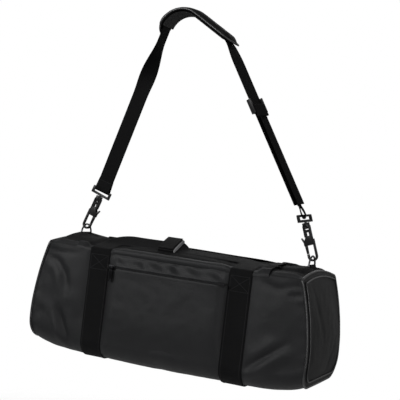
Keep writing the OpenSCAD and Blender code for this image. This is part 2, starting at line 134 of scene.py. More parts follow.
def mottle(tree, shader, dark, light, scale, roughLow, roughHigh):
    # Slow change of colour and gloss over a piece
    place = addNode(tree, "TexCoord").outputs["Object"]
    cloud = addNode(tree, "TexNoise", {"Vector": place, "Scale": scale, "Detail": 4.0, "Roughness": 0.6})
    ramp = addNode(tree, "ValToRGB", {"Fac": cloud.outputs["Fac"]})
    ramp.color_ramp.elements[0].position = 0.32
    ramp.color_ramp.elements[1].position = 0.7
    ramp.color_ramp.elements[0].color = (*dark, 1)
    ramp.color_ramp.elements[1].color = (*light, 1)
    tree.links.new(ramp.outputs["Color"], shader.inputs["Base Color"])
    rough = addNode(tree, "MapRange",
                    {"Value": cloud.outputs["Fac"], "To Min": roughLow, "To Max": roughHigh})
    tree.links.new(rough.outputs[0], shader.inputs["Roughness"])
    return place


def threads(tree, source, pitchX, pitchY):
    # Heights of a plain weave: one family of threads each way
    parts = addNode(tree, "SeparateXYZ", {0: source})
    across = maths(tree, "SINE", maths(tree, "MULTIPLY", parts.outputs[0], 2 * math.pi / (pitchX * mm)))
    along = maths(tree, "SINE", maths(tree, "MULTIPLY", parts.outputs[1], 2 * math.pi / (pitchY * mm)))
    return across, along


def bump(tree, shader, height, distance, strength):
    made = addNode(tree, "Bump", {"Height": height, "Distance": distance * mm, "Strength": strength})
    tree.links.new(made.outputs[0], shader.inputs["Normal"])


def wovenCloth(name, dark, light, pitch, rough, depth, gloss, onUv=True):
    made, tree, shader = newMaterial(name)
    place = mottle(tree, shader, dark, light, 11, rough - 0.06, rough + 0.07)
    source = addNode(tree, "UVMap").outputs[0] if onUv else place
    across, along = threads(tree, source, pitch, pitch)
    weave = maths(tree, "MULTIPLY", across, along)
    slub = addNode(tree, "TexNoise", {"Vector": place, "Scale": 420.0, "Detail": 3.0})
    height = maths(tree, "ADD", weave, maths(tree, "MULTIPLY", slub.outputs["Fac"], 1.6))
    bump(tree, shader, height, depth, 0.4)
    setFinish(shader, Sheen_Weight=0.02, Sheen_Roughness=0.5, Specular_IOR_Level=gloss)
    return made


def ribbedWebbing(name, dark, light, rib, rough):
    made, tree, shader = newMaterial(name)
    mottle(tree, shader, dark, light, 16, rough - 0.05, rough + 0.08)
    across, along = threads(tree, addNode(tree, "UVMap").outputs[0], rib, 1.1)
    ribs = maths(tree, "ABSOLUTE", across)
    height = maths(tree, "ADD", ribs, maths(tree, "MULTIPLY", along, 0.35))
    bump(tree, shader, height, 0.28, 0.45)
    setFinish(shader, Sheen_Weight=0.01, Sheen_Roughness=0.4, Specular_IOR_Level=0.1)
    return made


def mouldedPlastic(name, colour, rough):
    made, tree, shader = newMaterial(name)
    light = tuple(c * 1.35 + 0.002 for c in colour)
    place = mottle(tree, shader, colour, light, 60, rough - 0.06, rough + 0.1)
    grain = addNode(tree, "TexNoise", {"Vector": place, "Scale": 1400.0, "Detail": 2.0})
    bump(tree, shader, grain.outputs["Fac"], 0.06, 0.4)
    setFinish(shader, Specular_IOR_Level=0.5)
    return made


def platedMetal(name, dark, light, rough):
    made, tree, shader = newMaterial(name)
    place = mottle(tree, shader, dark, light, 90, rough - 0.08, rough + 0.12)
    scratch = addNode(tree, "TexNoise", {"Vector": place, "Scale": 900.0, "Detail": 4.0, "Distortion": 1.2})
    bump(tree, shader, scratch.outputs["Fac"], 0.03, 0.35)
    setFinish(shader, Metallic=1.0)
    return made


def openFoam(name, dark, light):
    made, tree, shader = newMaterial(name)
    place = mottle(tree, shader, dark, light, 30, 0.85, 0.95)
    cells = addNode(tree, "TexVoronoi", {"Vector": place, "Scale": 520.0})
    bump(tree, shader, cells.outputs["Distance"], 0.6, 0.7)
    return made


def spacerMesh(name, dark, light):
    made, tree, shader = newMaterial(name)
    mottle(tree, shader, dark, light, 22, 0.7, 0.85)
    across, along = threads(tree, addNode(tree, "UVMap").outputs[0], 3.2, 3.2)
    holes = maths(tree, "MINIMUM", across, along)
    bump(tree, shader, holes, 0.8, 0.9)
    setFinish(shader, Sheen_Weight=0.1)
    return made


# Name, dark and light colour, thread pitch in mm, roughness, relief in mm, gloss
shellCloth = wovenCloth("shellCloth", (0.0085, 0.0088, 0.0098), (0.0115, 0.0118, 0.013),
                        0.75, 0.46, 0.14, 0.34)
pocketCloth = wovenCloth("pocketCloth", (0.009, 0.0093, 0.0102), (0.012, 0.0123, 0.0135),
                         0.75, 0.46, 0.14, 0.34)
# The top's cloth is the shell cloth darkened as painted shade, where the top faces away from the light, and
# given less gloss
shadedTopCloth = wovenCloth("shadedTopCloth", (0.0030, 0.0030, 0.0034), (0.0048, 0.0048, 0.0053),
                      0.75, 0.62, 0.14, 0.06)
# The ends are the shell cloth darkened as painted shade, as they face away from the light
shadedEndCloth = wovenCloth("shadedEndCloth", (0.0025, 0.0026, 0.0029), (0.0037, 0.0039, 0.0042),
                      0.75, 0.46, 0.14, 0.25)
padCloth = wovenCloth("padCloth", (0.0030, 0.0030, 0.0032), (0.0048, 0.0048, 0.005),
                      1.0, 0.6, 0.12, 0.16, False)
liningCloth = wovenCloth("liningCloth", (0.03, 0.031, 0.034), (0.045, 0.046, 0.05),
                         0.6, 0.6, 0.1, 0.3, False)
caseWebbing = ribbedWebbing("caseWebbing", (0.0042, 0.0042, 0.0045), (0.0065, 0.0065, 0.007),
                            1.6, 0.62)
strapWebbing = ribbedWebbing("strapWebbing", (0.0022, 0.0022, 0.0024), (0.0036, 0.0036, 0.0038),
                             1.4, 0.6)
# The piping and the pad's binding are lighter than the shell cloth as a painted highlight along the edges;
# their gloss also catches the lamps
pipingHighlightCloth = wovenCloth("pipingHighlightCloth", (0.014, 0.014, 0.015), (0.022, 0.022, 0.023),
                         0.9, 0.28, 0.06, 0.9)
zipTapeCloth = wovenCloth("zipTapeCloth", (0.004, 0.004, 0.0043), (0.006, 0.006, 0.0063),
                          0.9, 0.6, 0.1, 0.2)
coilPlastic = mouldedPlastic("coilPlastic", (0.010, 0.010, 0.011), 0.38)
hookPlastic = mouldedPlastic("hookPlastic", (0.008, 0.008, 0.0085), 0.34)
threadCloth = mouldedPlastic("threadCloth", (0.011, 0.011, 0.012), 0.6)
ringMetal = platedMetal("ringMetal", (0.10, 0.10, 0.105), (0.2, 0.2, 0.21), 0.3)
zipMetal = platedMetal("zipMetal", (0.016, 0.016, 0.017), (0.03, 0.03, 0.032), 0.34)
foamMaterial = openFoam("foamMaterial", (0.045, 0.045, 0.048), (0.07, 0.07, 0.075))
meshMaterial = spacerMesh("meshMaterial", (0.004, 0.004, 0.0043), (0.007, 0.007, 0.0073))
# Light grey for the loop side of the wrap's fastener, partly its own colour and partly a painted highlight at
# the wrap's edge
velcroHighlightMaterial = openFoam("velcroHighlightMaterial", (0.22, 0.22, 0.225), (0.34, 0.34, 0.345))
print("materials are ready")


# How a piece is made

def activate(piece):
    bpy.ops.object.select_all(action="DESELECT")
    piece.select_set(True)
    bpy.context.view_layer.objects.active = piece


def editAll(piece, *steps):
    # Runs edit-mode operators on the whole piece
    activate(piece)
    bpy.ops.object.mode_set(mode="EDIT")
    bpy.ops.mesh.select_all(action="SELECT")
    for step in steps:
        step()
    bpy.ops.object.mode_set(mode="OBJECT")


def mergeDoubles(distance=0.02):
    return lambda: bpy.ops.mesh.remove_doubles(threshold=distance * mm)


def outwards():
    bpy.ops.mesh.normals_make_consistent(inside=False)


def applyModifier(piece, kind, **settings):
    activate(piece)
    made = piece.modifiers.new(kind.title(), kind)
    for key, value in settings.items():
        setattr(made, key, value)
    bpy.ops.object.modifier_apply(modifier=made.name)


def smooth(piece, degrees=45):
    activate(piece)
    bpy.ops.object.shade_smooth_by_angle(angle=math.radians(degrees))


def runsOf(line):
    # Distance in metres from the first point of a line to each of its points
    runs = [0.0]
    for a, b in zip(line, line[1:]):
        runs.append(runs[-1] + (Vector(b) - Vector(a)).length * mm)
    return runs


def shapedGrid(name, rows):
    # A grid primitive whose points are moved to the rows given, with a UV map in metres
    high, wide = len(rows) - 1, len(rows[0]) - 1
    bpy.ops.object.select_all(action="DESELECT")
    bpy.ops.mesh.primitive_grid_add(x_subdivisions=wide, y_subdivisions=high, size=1, calc_uvs=True)
    piece = bpy.context.object
    piece.name = name
    spots = [(round((v.co.x + 0.5) * wide), round((v.co.y + 0.5) * high)) for v in piece.data.vertices]
    across, along = runsOf(rows[high // 2]), runsOf([row[wide // 2] for row in rows])
    for vertex, (i, j) in zip(piece.data.vertices, spots):
        vertex.co = at(*rows[j][i])
    layer = piece.data.uv_layers.active.data
    for loop in piece.data.loops:
        i, j = spots[loop.vertex_index]
        layer[loop.index].uv = (across[i], along[j])
    return piece


def finishPiece(piece, body, paint, slotName, replaced=(), angle=45):
    piece.data.materials.clear()
    piece.data.materials.append(paint)
    smooth(piece, angle)
    if body:
        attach(piece, body)
    if replaced:
        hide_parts(*replaced)
    return piece


def thicken(piece, thickness):
    applyModifier(piece, "SOLIDIFY", thickness=thickness * mm, offset=0)
    editAll(piece, outwards)


def sheet(name, rows, thickness, *finish):
    # Cloth of one thickness through the rows given
    piece = shapedGrid(name, rows)
    thicken(piece, thickness)
    return finishPiece(piece, *finish)


def tube(name, points, radius, sides=10):
    # A round cord through the points given and back to the first
    rows = []
    count = len(points)
    for i, point in enumerate(points):
        run = (Vector(points[(i + 1) % count]) - Vector(points[i - 1])).normalized()
        side = run.cross(Vector((1, 0, 0)) if abs(run.x) < 0.9 else Vector((0, 1, 0))).normalized()
        other = run.cross(side)
        turns = [2 * math.pi * k / sides for k in range(sides + 1)]
        rows.append([Vector(point) + side * radius * math.cos(a) + other * radius * math.sin(a)
                     for a in turns])
    piece = shapedGrid(name, rows + [rows[0]])
    editAll(piece, mergeDoubles())
    editAll(piece, outwards)
    return piece


def capEnds(piece):
    activate(piece)
    bpy.ops.object.mode_set(mode="EDIT")
    bpy.ops.mesh.select_all(action="DESELECT")
    bpy.ops.mesh.select_mode(type="EDGE")
    bpy.ops.mesh.select_non_manifold()
    bpy.ops.mesh.fill_holes(sides=0)
    bpy.ops.mesh.select_mode(type="VERT")
    bpy.ops.object.mode_set(mode="OBJECT")


def closedGrid(name, rows):
    # A grid whose rows are rings, with its two ends filled
    piece = shapedGrid(name, rows)
    editAll(piece, mergeDoubles())
    capEnds(piece)
    editAll(piece, outwards)
    return piece


def band(name, stations, width, thickness, flat=8):
    # Webbing: each station is (point, direction of the width, direction out of the face)
    rows = []
    edge = [math.radians(a) for a in (-45, 0, 45)]
    half = width / 2 - thickness / 2
    for point, wide, out in stations:
        point, wide, out = Vector(point), Vector(wide).normalized(), Vector(out).normalized()
        row = [point + wide * mix(-half, half, i / flat) + out * thickness / 2 for i in range(flat + 1)]
        row += [point + wide * (half + math.cos(-a) * thickness / 2) + out * math.sin(-a) * thickness / 2
                for a in edge]
        row += [point + wide * mix(half, -half, i / flat) - out * thickness / 2 for i in range(flat + 1)]
        row += [point - wide * (half + math.cos(a) * thickness / 2) + out * math.sin(a) * thickness / 2
                for a in edge]
        rows.append(row + [row[0]])
    return closedGrid(name, rows)


def webbing(name, stations, width, thickness, body, paint, node, flat=8):
    return finishPiece(band(name, stations, width, thickness, flat), body, paint, "webbing", [node], 60)


def copies(name, seed, places):
    # One mesh that holds a copy of the seed's mesh at each place; the seed goes
    joined = bmesh.new()
    for place in places:
        before = len(joined.verts)
        joined.from_mesh(seed.data)
        joined.verts.ensure_lookup_table()
        bmesh.ops.transform(joined, matrix=place, verts=joined.verts[before:])
    data = bpy.data.meshes.new(name)
    joined.to_mesh(data)
    joined.free()
    bpy.data.objects.remove(seed)
    piece = bpy.data.objects.new(name, data)
    bpy.context.scene.collection.objects.link(piece)
    return piece


def frameMatrix(point, run, out):
    # X along the run, Z out of the face, at a point in millimetres
    run = Vector(run).normalized()
    out = (Vector(out) - run * run.dot(Vector(out))).normalized()
    side = out.cross(run)
    spin = Matrix((run, side, out)).transposed().to_4x4()
    return Matrix.Translation(at(*point)) @ spin


stitch = dict(length=2.6, pitch=3.8, radius=0.36)


def stitchSeed():
    bpy.ops.object.select_all(action="DESELECT")
    bpy.ops.mesh.primitive_cylinder_add(vertices=6, radius=stitch["radius"] * mm,
                                        depth=stitch["length"] * mm, rotation=(0, math.pi / 2, 0),
                                        end_fill_type="TRIFAN")
    seed = bpy.context.object
    bpy.ops.object.transform_apply(location=False, rotation=True, scale=False)
    for vertex in seed.data.vertices:
        if abs(vertex.co.y) + abs(vertex.co.z) < 0.01 * mm:
            vertex.co.x *= 1.2
        elif abs(vertex.co.x) > 0:
            vertex.co.z -= 0.1 * mm
    return seed


def stitches(name, lines, body):
    # Thread along each line, a list of (point, out) in millimetres
    places = []
    for line in lines:
        left = stitch["pitch"] / 2
        for (a, outA), (b, outB) in zip(line, line[1:]):
            a, b = Vector(a), Vector(b)
            step = (b - a).length
            if step < 0.01:
                continue
            while left < step:
                t = left / step
                out = Vector(outA).lerp(Vector(outB), t)
                places.append(frameMatrix(a.lerp(b, t) + out.normalized() * 0.1, b - a, out))
                left += stitch["pitch"]
            left -= step
    return finishPiece(copies(name, stitchSeed(), places), body, threadCloth, "webbing")


def mouldedCopy(nodeName, body, paint, slotName, bevel=0.5):
    # The node's own solid with its edges rounded
    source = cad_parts[nodeName]
    piece = bpy.data.objects.new(nodeName + "Moulded", source.data.copy())
    bpy.context.scene.collection.objects.link(piece)
    editAll(piece, mergeDoubles(0.01))
    applyModifier(piece, "DECIMATE", decimate_type="DISSOLVE", angle_limit=math.radians(3))
    applyModifier(piece, "BEVEL", width=bevel * mm, segments=2, limit_method="ANGLE",
                  angle_limit=math.radians(38), harden_normals=False)
    editAll(piece, outwards)
    return finishPiece(piece, body, paint, slotName, [nodeName], 40)


def dress(nodeName, paint):
    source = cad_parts[nodeName]
    source.data.materials.clear()
    source.data.materials.append(paint)


def inflate(piece, voxel, pressure, cap, frames=20):
    # Swells a closed piece as cloth under pressure, each point held within the cap
    applyModifier(piece, "REMESH", mode="VOXEL", voxel_size=voxel * mm)
    rest = [v.co.copy() for v in piece.data.vertices]
    activate(piece)
    cloth = piece.modifiers.new("Cloth", "CLOTH")
    cloth.settings.quality = 5
    cloth.settings.mass = 0.3
    cloth.settings.use_pressure = True
    cloth.settings.uniform_pressure_force = pressure
    cloth.settings.effector_weights.gravity = 0
    cloth.settings.tension_stiffness = 12
    cloth.settings.bending_stiffness = 0.4
    scene = bpy.context.scene
    for number in range(1, frames + 1):
        scene.frame_set(number)
    bpy.ops.object.modifier_apply(modifier=cloth.name)
    scene.frame_set(1)
    for vertex, start in zip(piece.data.vertices, rest):
        moved = vertex.co - start
        if moved.length > cap * mm:
            vertex.co = start + moved.normalized() * cap * mm


# The case's shape

def endX(z):
    t = z / case["height"]
    return case["length"] / 2 - case["endLean"] * t + 4 * case["endBulge"] * t * (1 - t)


roofRadius = (case["depth"] / 2) ** 2 / (2 * case["crown"]) + case["crown"] / 2


def roofZ(y):
    return case["height"] + case["crown"] - roofRadius + math.sqrt(roofRadius ** 2 - y * y)


hang = dict(reach=317, corner=16, bow=5, height=150)


def settle(x, y, z):
    # The loaded case hangs: its base rises a little towards both ends
    ends = abs(x) / hang["reach"]
    lift = (hang["corner"] * ends ** 8 + hang["bow"] * ends ** 2) * ease(1 - z / hang["height"])
    return Vector((x, y, z + lift))


def sectionPoint(s, out=0.0):
    # Runs down the front, round the base and up the back; s is in millimetres from the front rim
    half, r = case["depth"] / 2, case["corner"]
    side, arc, flat = case["rim"] - r, math.pi / 2 * r, 2 * (half - r)
    if s < side:
        y, z, ny, nz = -half, case["rim"] - s, -1, 0
    elif s < side + arc:
        a = (s - side) / r
        y, z, ny, nz = -(half - r) - r * math.cos(a), r - r * math.sin(a), -math.cos(a), -math.sin(a)
    elif s < side + arc + flat:
        y, z, ny, nz = s - side - arc - flat / 2, 0, 0, -1
    elif s < side + 2 * arc + flat:
        a = (s - side - arc - flat) / r
        y, z, ny, nz = (half - r) + r * math.sin(a), r - r * math.cos(a), math.sin(a), -math.cos(a)
    else:
        y, z, ny, nz = half, r + s - side - 2 * arc - flat, 1, 0
    return y + ny * out, z + nz * out, ny, nz


sectionLength = 2 * (case["rim"] - case["corner"]) + math.pi * case["corner"]
sectionLength += case["depth"] - 2 * case["corner"]

# Folds in the cloth: points in x and z, half width, height; a dip has a negative height
folds = dict(
    front=[
        ([(-302, 208), (-270, 200), (-248, 176), (-236, 136)], 9, -3.4),
        ([(-298, 190), (-270, 182), (-258, 150), (-256, 120)], 12, 2.0),
        ([(-306, 226), (-262, 220), (-214, 224)], 5, -1.8),
        ([(-254, 96), (-240, 60), (-222, 22)], 7.5, -4.6),
        ([(-268, 92), (-256, 56), (-240, 26)], 9, 1.8),
        ([(186, 33), (229, 68), (280, 106)], 6.5, -5.2),
        ([(196, 20), (238, 52), (290, 88)], 11, 3.2),
        ([(200, 60), (236, 92), (262, 112)], 12, 2.2),
        ([(268, 203), (309, 209)], 4.5, -2.2),
        ([(262, 212), (300, 219)], 5, 1.6),
        ([(286, 196), (312, 199)], 4.5, 1.3),
        ([(205, 224), (250, 214), (300, 226)], 8, -2.4),
        ([(-310, 60), (-290, 92)], 9, -1.8),
    ],
    back=[
        ([(-300, 60), (-262, 40), (-210, 14)], 10, -4.2),
        ([(200, 12), (232, 46), (262, 92)], 11, -4.4),
        ([(240, 215), (246, 170), (240, 130)], 14, -3.0),
        ([(-230, 220), (-236, 176), (-230, 150)], 15, -2.8),
        ([(-90, 60), (-40, 34), (30, 30)], 12, -2.6),
        ([(60, 206), (90, 160), (80, 120)], 16, -2.4),
        ([(-110, 210), (-80, 180)], 10, -2.2),
    ])
# No dip goes deeper than the foam behind the cloth
wall = dict(riserIn=140, riserOut=190, puffOut=6.5, puffMiddle=7, wave=3.0, ripple=1.3,
            pucker=0.7, puckerRun=5.2, deepest=-0.9)


def segmentDistance(px, pz, a, b, number):
    # Distance to one stretch of a fold, and how far along the fold that is
    dx, dz = b[0] - a[0], b[1] - a[1]
    t = clamp(((px - a[0]) * dx + (pz - a[1]) * dz) / (dx * dx + dz * dz))
    return math.hypot(px - a[0] - dx * t, pz - a[1] - dz * t), number + t


def foldHeight(x, z, group):
    total = 0.0
    for points, width, height in folds[group]:
        if abs(x - points[0][0]) > 160:
            continue
        near, t = min(segmentDistance(x, z, a, b, k) for k, (a, b) in enumerate(zip(points, points[1:])))
        fade = math.sin(math.pi * clamp(t / (len(points) - 1), 0.03, 0.97)) ** 0.6
        total += 1.5 * height * bell(near / width) * fade
    return total


def wallPush(x, z, group):
    # How far the padded wall stands out of its flat shape
    reach = abs(x)
    end = endX(clamp(z, 0, case["height"]))
    if reach < wall["riserIn"]:
        t = reach / wall["riserIn"]
        shape = wall["puffMiddle"] * (1 - t ** 6)
        seam = ease((wall["riserIn"] - reach) / 10)
    elif reach < wall["riserOut"]:
        return 0.0
    else:
        t = (reach - wall["riserOut"]) / (end - wall["riserOut"])
        shape = wall["puffOut"] * clamp(4 * t * (1 - t)) ** 0.7
        seam = ease((reach - wall["riserOut"]) / 9) * ease((end - reach) / 7)
    tall = clamp(math.sin(math.pi * clamp((z + 12) / (case["rim"] + 20)))) ** 0.6
    seed = 3.1 if group == "front" else 9.7
    wave = wall["wave"] * noise.noise(Vector((x * 0.012, z * 0.014, seed)))
    wave += wall["ripple"] * noise.noise(Vector((x * 0.035 + 5, z * 0.03, seed)))
    phase = z / wall["puckerRun"] + 1.7 * noise.noise(Vector((0, z * 0.03, seed)))
    near = (end - reach) / 16 if reach > wall["riserOut"] else (wall["riserIn"] - reach) / 14
    pucker = wall["pucker"] * math.sin(phase) * bell(near)
    return shape * tall + seam * (wave + foldHeight(x, z, group) + pucker)


def basePush(x, y):
    seam = ease((endX(0) - abs(x)) / 10)
    wave = 1.6 * noise.noise(Vector((x * 0.011, y * 0.016, 6.0)))
    return seam * (wave + 0.8 * noise.noise(Vector((x * 0.04, y * 0.04, 2.0))))


def shellPoint(u, s, out=0.0):
    y, z, ny, nz = sectionPoint(s)
    x = u * endX(z)
    side = max(wall["deepest"], wallPush(x, z, "front" if ny < 0 else "back")) * ny * ny
    under = max(wall["deepest"], basePush(x, y)) * nz * nz if nz < 0 else 0.0
    if wall["riserIn"] <= abs(x) <= wall["riserOut"]:
        under = 0.0
    push = side + under + out
    return settle(x, y + ny * push, z + nz * push)


def buildShell():
    columns, rows = 168, 132
    grid = []
    for j in range(rows + 1):
        s = sectionLength * j / rows
        grid.append([shellPoint(2 * i / columns - 1, s, -case["skin"] / 2) for i in range(columns + 1)])
    sheet("outerShell", grid, case["skin"], "case", shellCloth, "shell_fabric", ["body_wrap"], 60)


def endOutline(count, inset=0.0):
    # Outline of an end in y and z, counted round from the middle of the base
    half, r, middle = case["depth"] / 2 - inset, case["corner"] - inset, case["corner"]
    flat, arc, tall = half - r, math.pi / 2 * r, case["height"] - middle
    total = 2 * flat + 2 * arc + 2 * tall + 2 * half
    path = []
    for k in range(count):
        s = total * k / count
        sign = 1
        if s > total / 2:
            s, sign = total - s, -1
        if s < flat:
            y, z = s, inset
        elif s < flat + arc:
            a = (s - flat) / r
            y, z = flat + r * math.sin(a), middle - r * math.cos(a)
        elif s < flat + arc + tall:
            y, z = half, middle + s - flat - arc
        else:
            y = half - (s - flat - arc - tall)
            z = roofZ(y) - inset
        path.append((sign * y, z))
    return path


def endPoint(side, v, w):
    # v runs across from -1 to 1, w runs up from 0 to 1
    half, r = case["depth"] / 2, case["corner"]
    low = w * case["height"]
    wide = half if low > r else half - r + math.sqrt(max(0, r * r - (r - low) ** 2))
    y = v * wide
    z = w * (roofZ(y) - 1)
    edge = clamp(min((1 - abs(v)) * wide, w * case["height"], (1 - w) * case["height"]) / 30)
    dome = 6.5 * math.sin(math.pi * clamp(w)) ** 0.7 * (1 - v * v) ** 0.6
    wave = 1.9 * noise.noise(Vector((y * 0.016, z * 0.013, 4.0 * side + 8)))
    wave += 0.6 * noise.noise(Vector((y * 0.05, z * 0.04, 2.0 * side + 3)))
    dip = -2.0 * bell((y + 30 * side + (z - 120) * 0.35) / 12) * bell((z - 170) / 60)
    dip += -1.2 * bell((y - 46 - (z - 60) * 0.5) / 10) * bell((z - 60) / 50)
    x = endX(z) + max(wall["deepest"], dome + ease(edge) * (wave + dip))
    return settle(side * x, y, z)


def buildEnd(side, name, node):
    columns, rows = 64, 64
    grid = [[endPoint(side, 2 * i / columns - 1, j / rows) for i in range(columns + 1)]
            for j in range(rows + 1)]
    piece = shapedGrid(name, grid)
    editAll(piece, mergeDoubles())
    thicken(piece, case["skin"])
    # The end's darker cloth is painted shade
    finishPiece(piece, "case", shadedEndCloth, "shell_fabric", [node], 60)


piping = dict(radius=2.5, push=1.2, seamIn=9.5, seamOut=3.2, seamRadius=1.7)


def buildPiping(side, name, node):
    # The cord on the edge of an end, and the raised seam inside it
    ring = []
    half, push = case["depth"] / 2, piping["push"]
    for y, z in endOutline(150):
        ny = y / half if case["corner"] < z < case["height"] - 2 else 0.7 * y / half
        up = (push if z > 200 else -push) * (1 - abs(ny))
        ring.append(settle(side * (endX(z) - 0.5), y + push * ny, z + up))
    cord = tube(name, ring, piping["radius"])
    finishPiece(cord, "case", pipingHighlightCloth, "piping", [node], 60)
    inner = []
    for y, z in endOutline(130, piping["seamIn"]):
        edge = piping["seamOut"] + 0.5 * noise.noise(Vector((y * 0.03, z * 0.03, side)))
        inner.append(settle(side * (endX(z) + edge), y, z))
    seam = tube(name + "Seam", inner, piping["seamRadius"], 8)
    finishPiece(seam, "case", pipingHighlightCloth, "piping", (), 60)


print("building the case")
buildShell()
for side, word in leftRight:
    buildEnd(side, word + "EndCloth", word + "_end_panel")
    buildPiping(side, word + "Piping", word + "_piping")
print("the shell, ends and piping are built")

# Webbing risers
riser = dict(x=165, width=50, thickness=2.4, stitchIn=4, stitchTop=228, boxLow=196, boxHigh=228)


def riserStations(x, extra=0.0):
    made = []
    steps = 170
    for k in range(steps + 1):
        s = sectionLength * k / steps
        y, z, ny, nz = sectionPoint(s, riser["thickness"] / 2 + extra)
        made.append((settle(x, y, z), (1, 0, 0), (0, ny, nz)))
    for z in (239, 240.6):
        y = case["depth"] / 2 + riser["thickness"] / 2 + extra
        made.insert(0, (Vector((x, -y, z)), (1, 0, 0), (0, -1, 0)))
        made.append((Vector((x, y, z)), (1, 0, 0), (0, 1, 0)))
    return made


def buildRisers():
    for side, word in leftRight:
        webbing(word + "Riser", riserStations(side * riser["x"]), riser["width"], riser["thickness"],
                "case", caseWebbing, word + "_webbing")
        lines = []
        for edge in (-1, 1):
            x = side * riser["x"] + edge * (riser["width"] / 2 - riser["stitchIn"])
            run = riserStations(x, riser["thickness"] / 2)
            lines.append([(p, out) for p, _, out in run if p.z < riser["stitchTop"]])
        face = -case["depth"] / 2 - riser["thickness"]
        for y in (face, -face):
            out = (0, math.copysign(1, y), 0)
            low, high = riser["boxLow"], riser["boxHigh"]      # boxed cross below the top edge
            x0 = side * riser["x"] - riser["width"] / 2 + riser["stitchIn"]
            x1 = x0 + riser["width"] - 2 * riser["stitchIn"]
            for z0, z1 in ((low, low), (high, high), (low, high), (high, low)):
                lines.append([((x0, y, z0), out), ((x1, y, z1), out)])
        stitches(word + "RiserStitches", lines, "case")


buildRisers()

# Front pocket
pocket = dict(halfX=139.2, depth=13.4, zipZ=206, mouth=3, bandTop=231, hem=13, edge=9, seam=4)


def frontFace(z):
    r, half = case["corner"], case["depth"] / 2
    if z >= r:
        return -half
    return -(half - r) - math.sqrt(max(0, r * r - (r - z) ** 2))


def pocketDepth(x, z):
    side = 1 - math.exp(-((pocket["halfX"] - abs(x)) / pocket["edge"]))
    if z > pocket["zipZ"]:
        t = (z - pocket["zipZ"]) / (pocket["bandTop"] - pocket["zipZ"])
        tall = mix(1.0, 0.16, ease(t) ** 1.3)
    else:
        tall = mix(0.14, 1.0, ease((z - pocket["hem"]) / 105))
    full = 1.5 + pocket["depth"] * tall * side
    wave = 1.5 * noise.noise(Vector((x * 0.014, z * 0.016, 5.5)))
    wave += 0.6 * noise.noise(Vector((x * 0.04, z * 0.05, 1.5)))
    calm = ease((pocket["halfX"] - abs(x)) / 25) * ease(abs(z - pocket["zipZ"]) / 22)
    if z > pocket["zipZ"]:
        ripple = 2.2 * math.sin((x + 0.9 * (z - 220)) / 7 + 3 * noise.noise(Vector((x * 0.02, 0, 3))))
        fullness = 0.35 + clamp(0.5 + 1.6 * noise.noise(Vector((x * 0.017, 7, 1))))
        return full + side * ripple * math.sin(math.pi * t) * fullness
    return full + calm * wave


def pocketPoint(x, z):
    return settle(x, frontFace(z) - pocketDepth(x, z), z)


def buildPocket():
    columns = 96
    xs = [math.sin(math.pi / 2 * (2 * i / columns - 1)) * pocket["halfX"] for i in range(columns + 1)]
    rows = []
    top = pocket["zipZ"] - pocket["mouth"]
    for j in range(73):
        z = mix(pocket["hem"], top, j / 72)
        rows.append([pocketPoint(x, z) for x in xs])
    # The upper edge is turned in over the zip
    edge = rows[-1]
    rows += [[p + Vector((0, inward, 0.9)) for p in edge] for inward in (0.6, 2.2)]
    sheet("frontPocket", rows, case["skin"], "case", pocketCloth, "shell_fabric", ["pocket_panel"], 60)
    low = pocket["zipZ"] + pocket["mouth"]
    edge = [pocketPoint(x, low) for x in xs]
    rows = [[p + Vector((0, inward, -0.9)) for p in edge] for inward in (2.2, 0.6)]
    for j in range(21):
        z = mix(low, pocket["bandTop"], j / 20)
        rows.append([pocketPoint(x, z) for x in xs])
    sheet("pocketBand", rows, case["skin"], "case", shellCloth, "shell_fabric", ["pocket_band"], 60)
    lines = []
    for z in (top - pocket["seam"], low + pocket["seam"]):
        lines.append([((x, frontFace(z) - pocketDepth(x, z) - 0.6, z), (0, -1, 0)) for x in xs[6:-6]])
    stitches("pocketStitches", lines, "case")


zipper = dict(pitch=2.3, stagger=1.2, tooth=(1.15, 3.4, 2.0), round=0.45, side=1.6, drop=0.6, tape=0.7,
              across=(14, 8, 4, 2.7, 1.2))


def toothSeed():
    bpy.ops.object.select_all(action="DESELECT")
    bpy.ops.mesh.primitive_cube_add(size=1)
    seed = bpy.context.object
    for vertex in seed.data.vertices:
        vertex.co = Vector([c * (size * mm) for c, size in zip(vertex.co, zipper["tooth"])])
    applyModifier(seed, "BEVEL", width=zipper["round"] * mm, segments=1, limit_method="NONE")
    return seed


def teeth(name, start, end, run, out, body, offset):
    # One half of a coil zip: teeth a fixed pitch apart from start to end
    length = (Vector(end) - Vector(start)).length
    places = []
    for k in range(int(length / zipper["pitch"])):
        point = Vector(start) + Vector(run) * (k * zipper["pitch"] + offset)
        places.append(frameMatrix(point, run, out))
    return finishPiece(copies(name, toothSeed(), places), body, coilPlastic, "zip_tape", (), 40)


def buildPocketZip():
    y = -case["depth"] / 2 - 14 + case["skin"] - 0.5
    reach = pocket["halfX"] - 1.5
    rows = [[(mix(-reach, reach, i / 60), y + 0.4, pocket["zipZ"] + z) for i in range(61)]
            for z in (-4.5, -2.2, -1.0, 1.0, 2.2, 4.5)]
    sheet("pocketZipTape", rows, zipper["tape"], "case", zipTapeCloth, "zip_tape", ["pocket_zip"])
    for half, word, offset in ((-1, "Low", 0.0), (1, "High", zipper["stagger"])):
        z = pocket["zipZ"] + half * 0.95
        teeth("pocketTeeth" + word, (-reach, y, z), (reach, y, z), (1, 0, 0), (0, -1, 0), "case", offset)


buildPocket()
buildPocketZip()
print("the pocket and risers are built")

# The top: fixed strips, the two flaps and the zip
top = dict(flapX=225, puff=2.2, outerPuff=7.0, lift=1.2, zipEnd=44, shadedFlapReach=108, shadedStripReach=106)
roll = dict(share=0.2, inset=1.4, low=233.0, high=240.2, middle=4.6, outer=2.4)


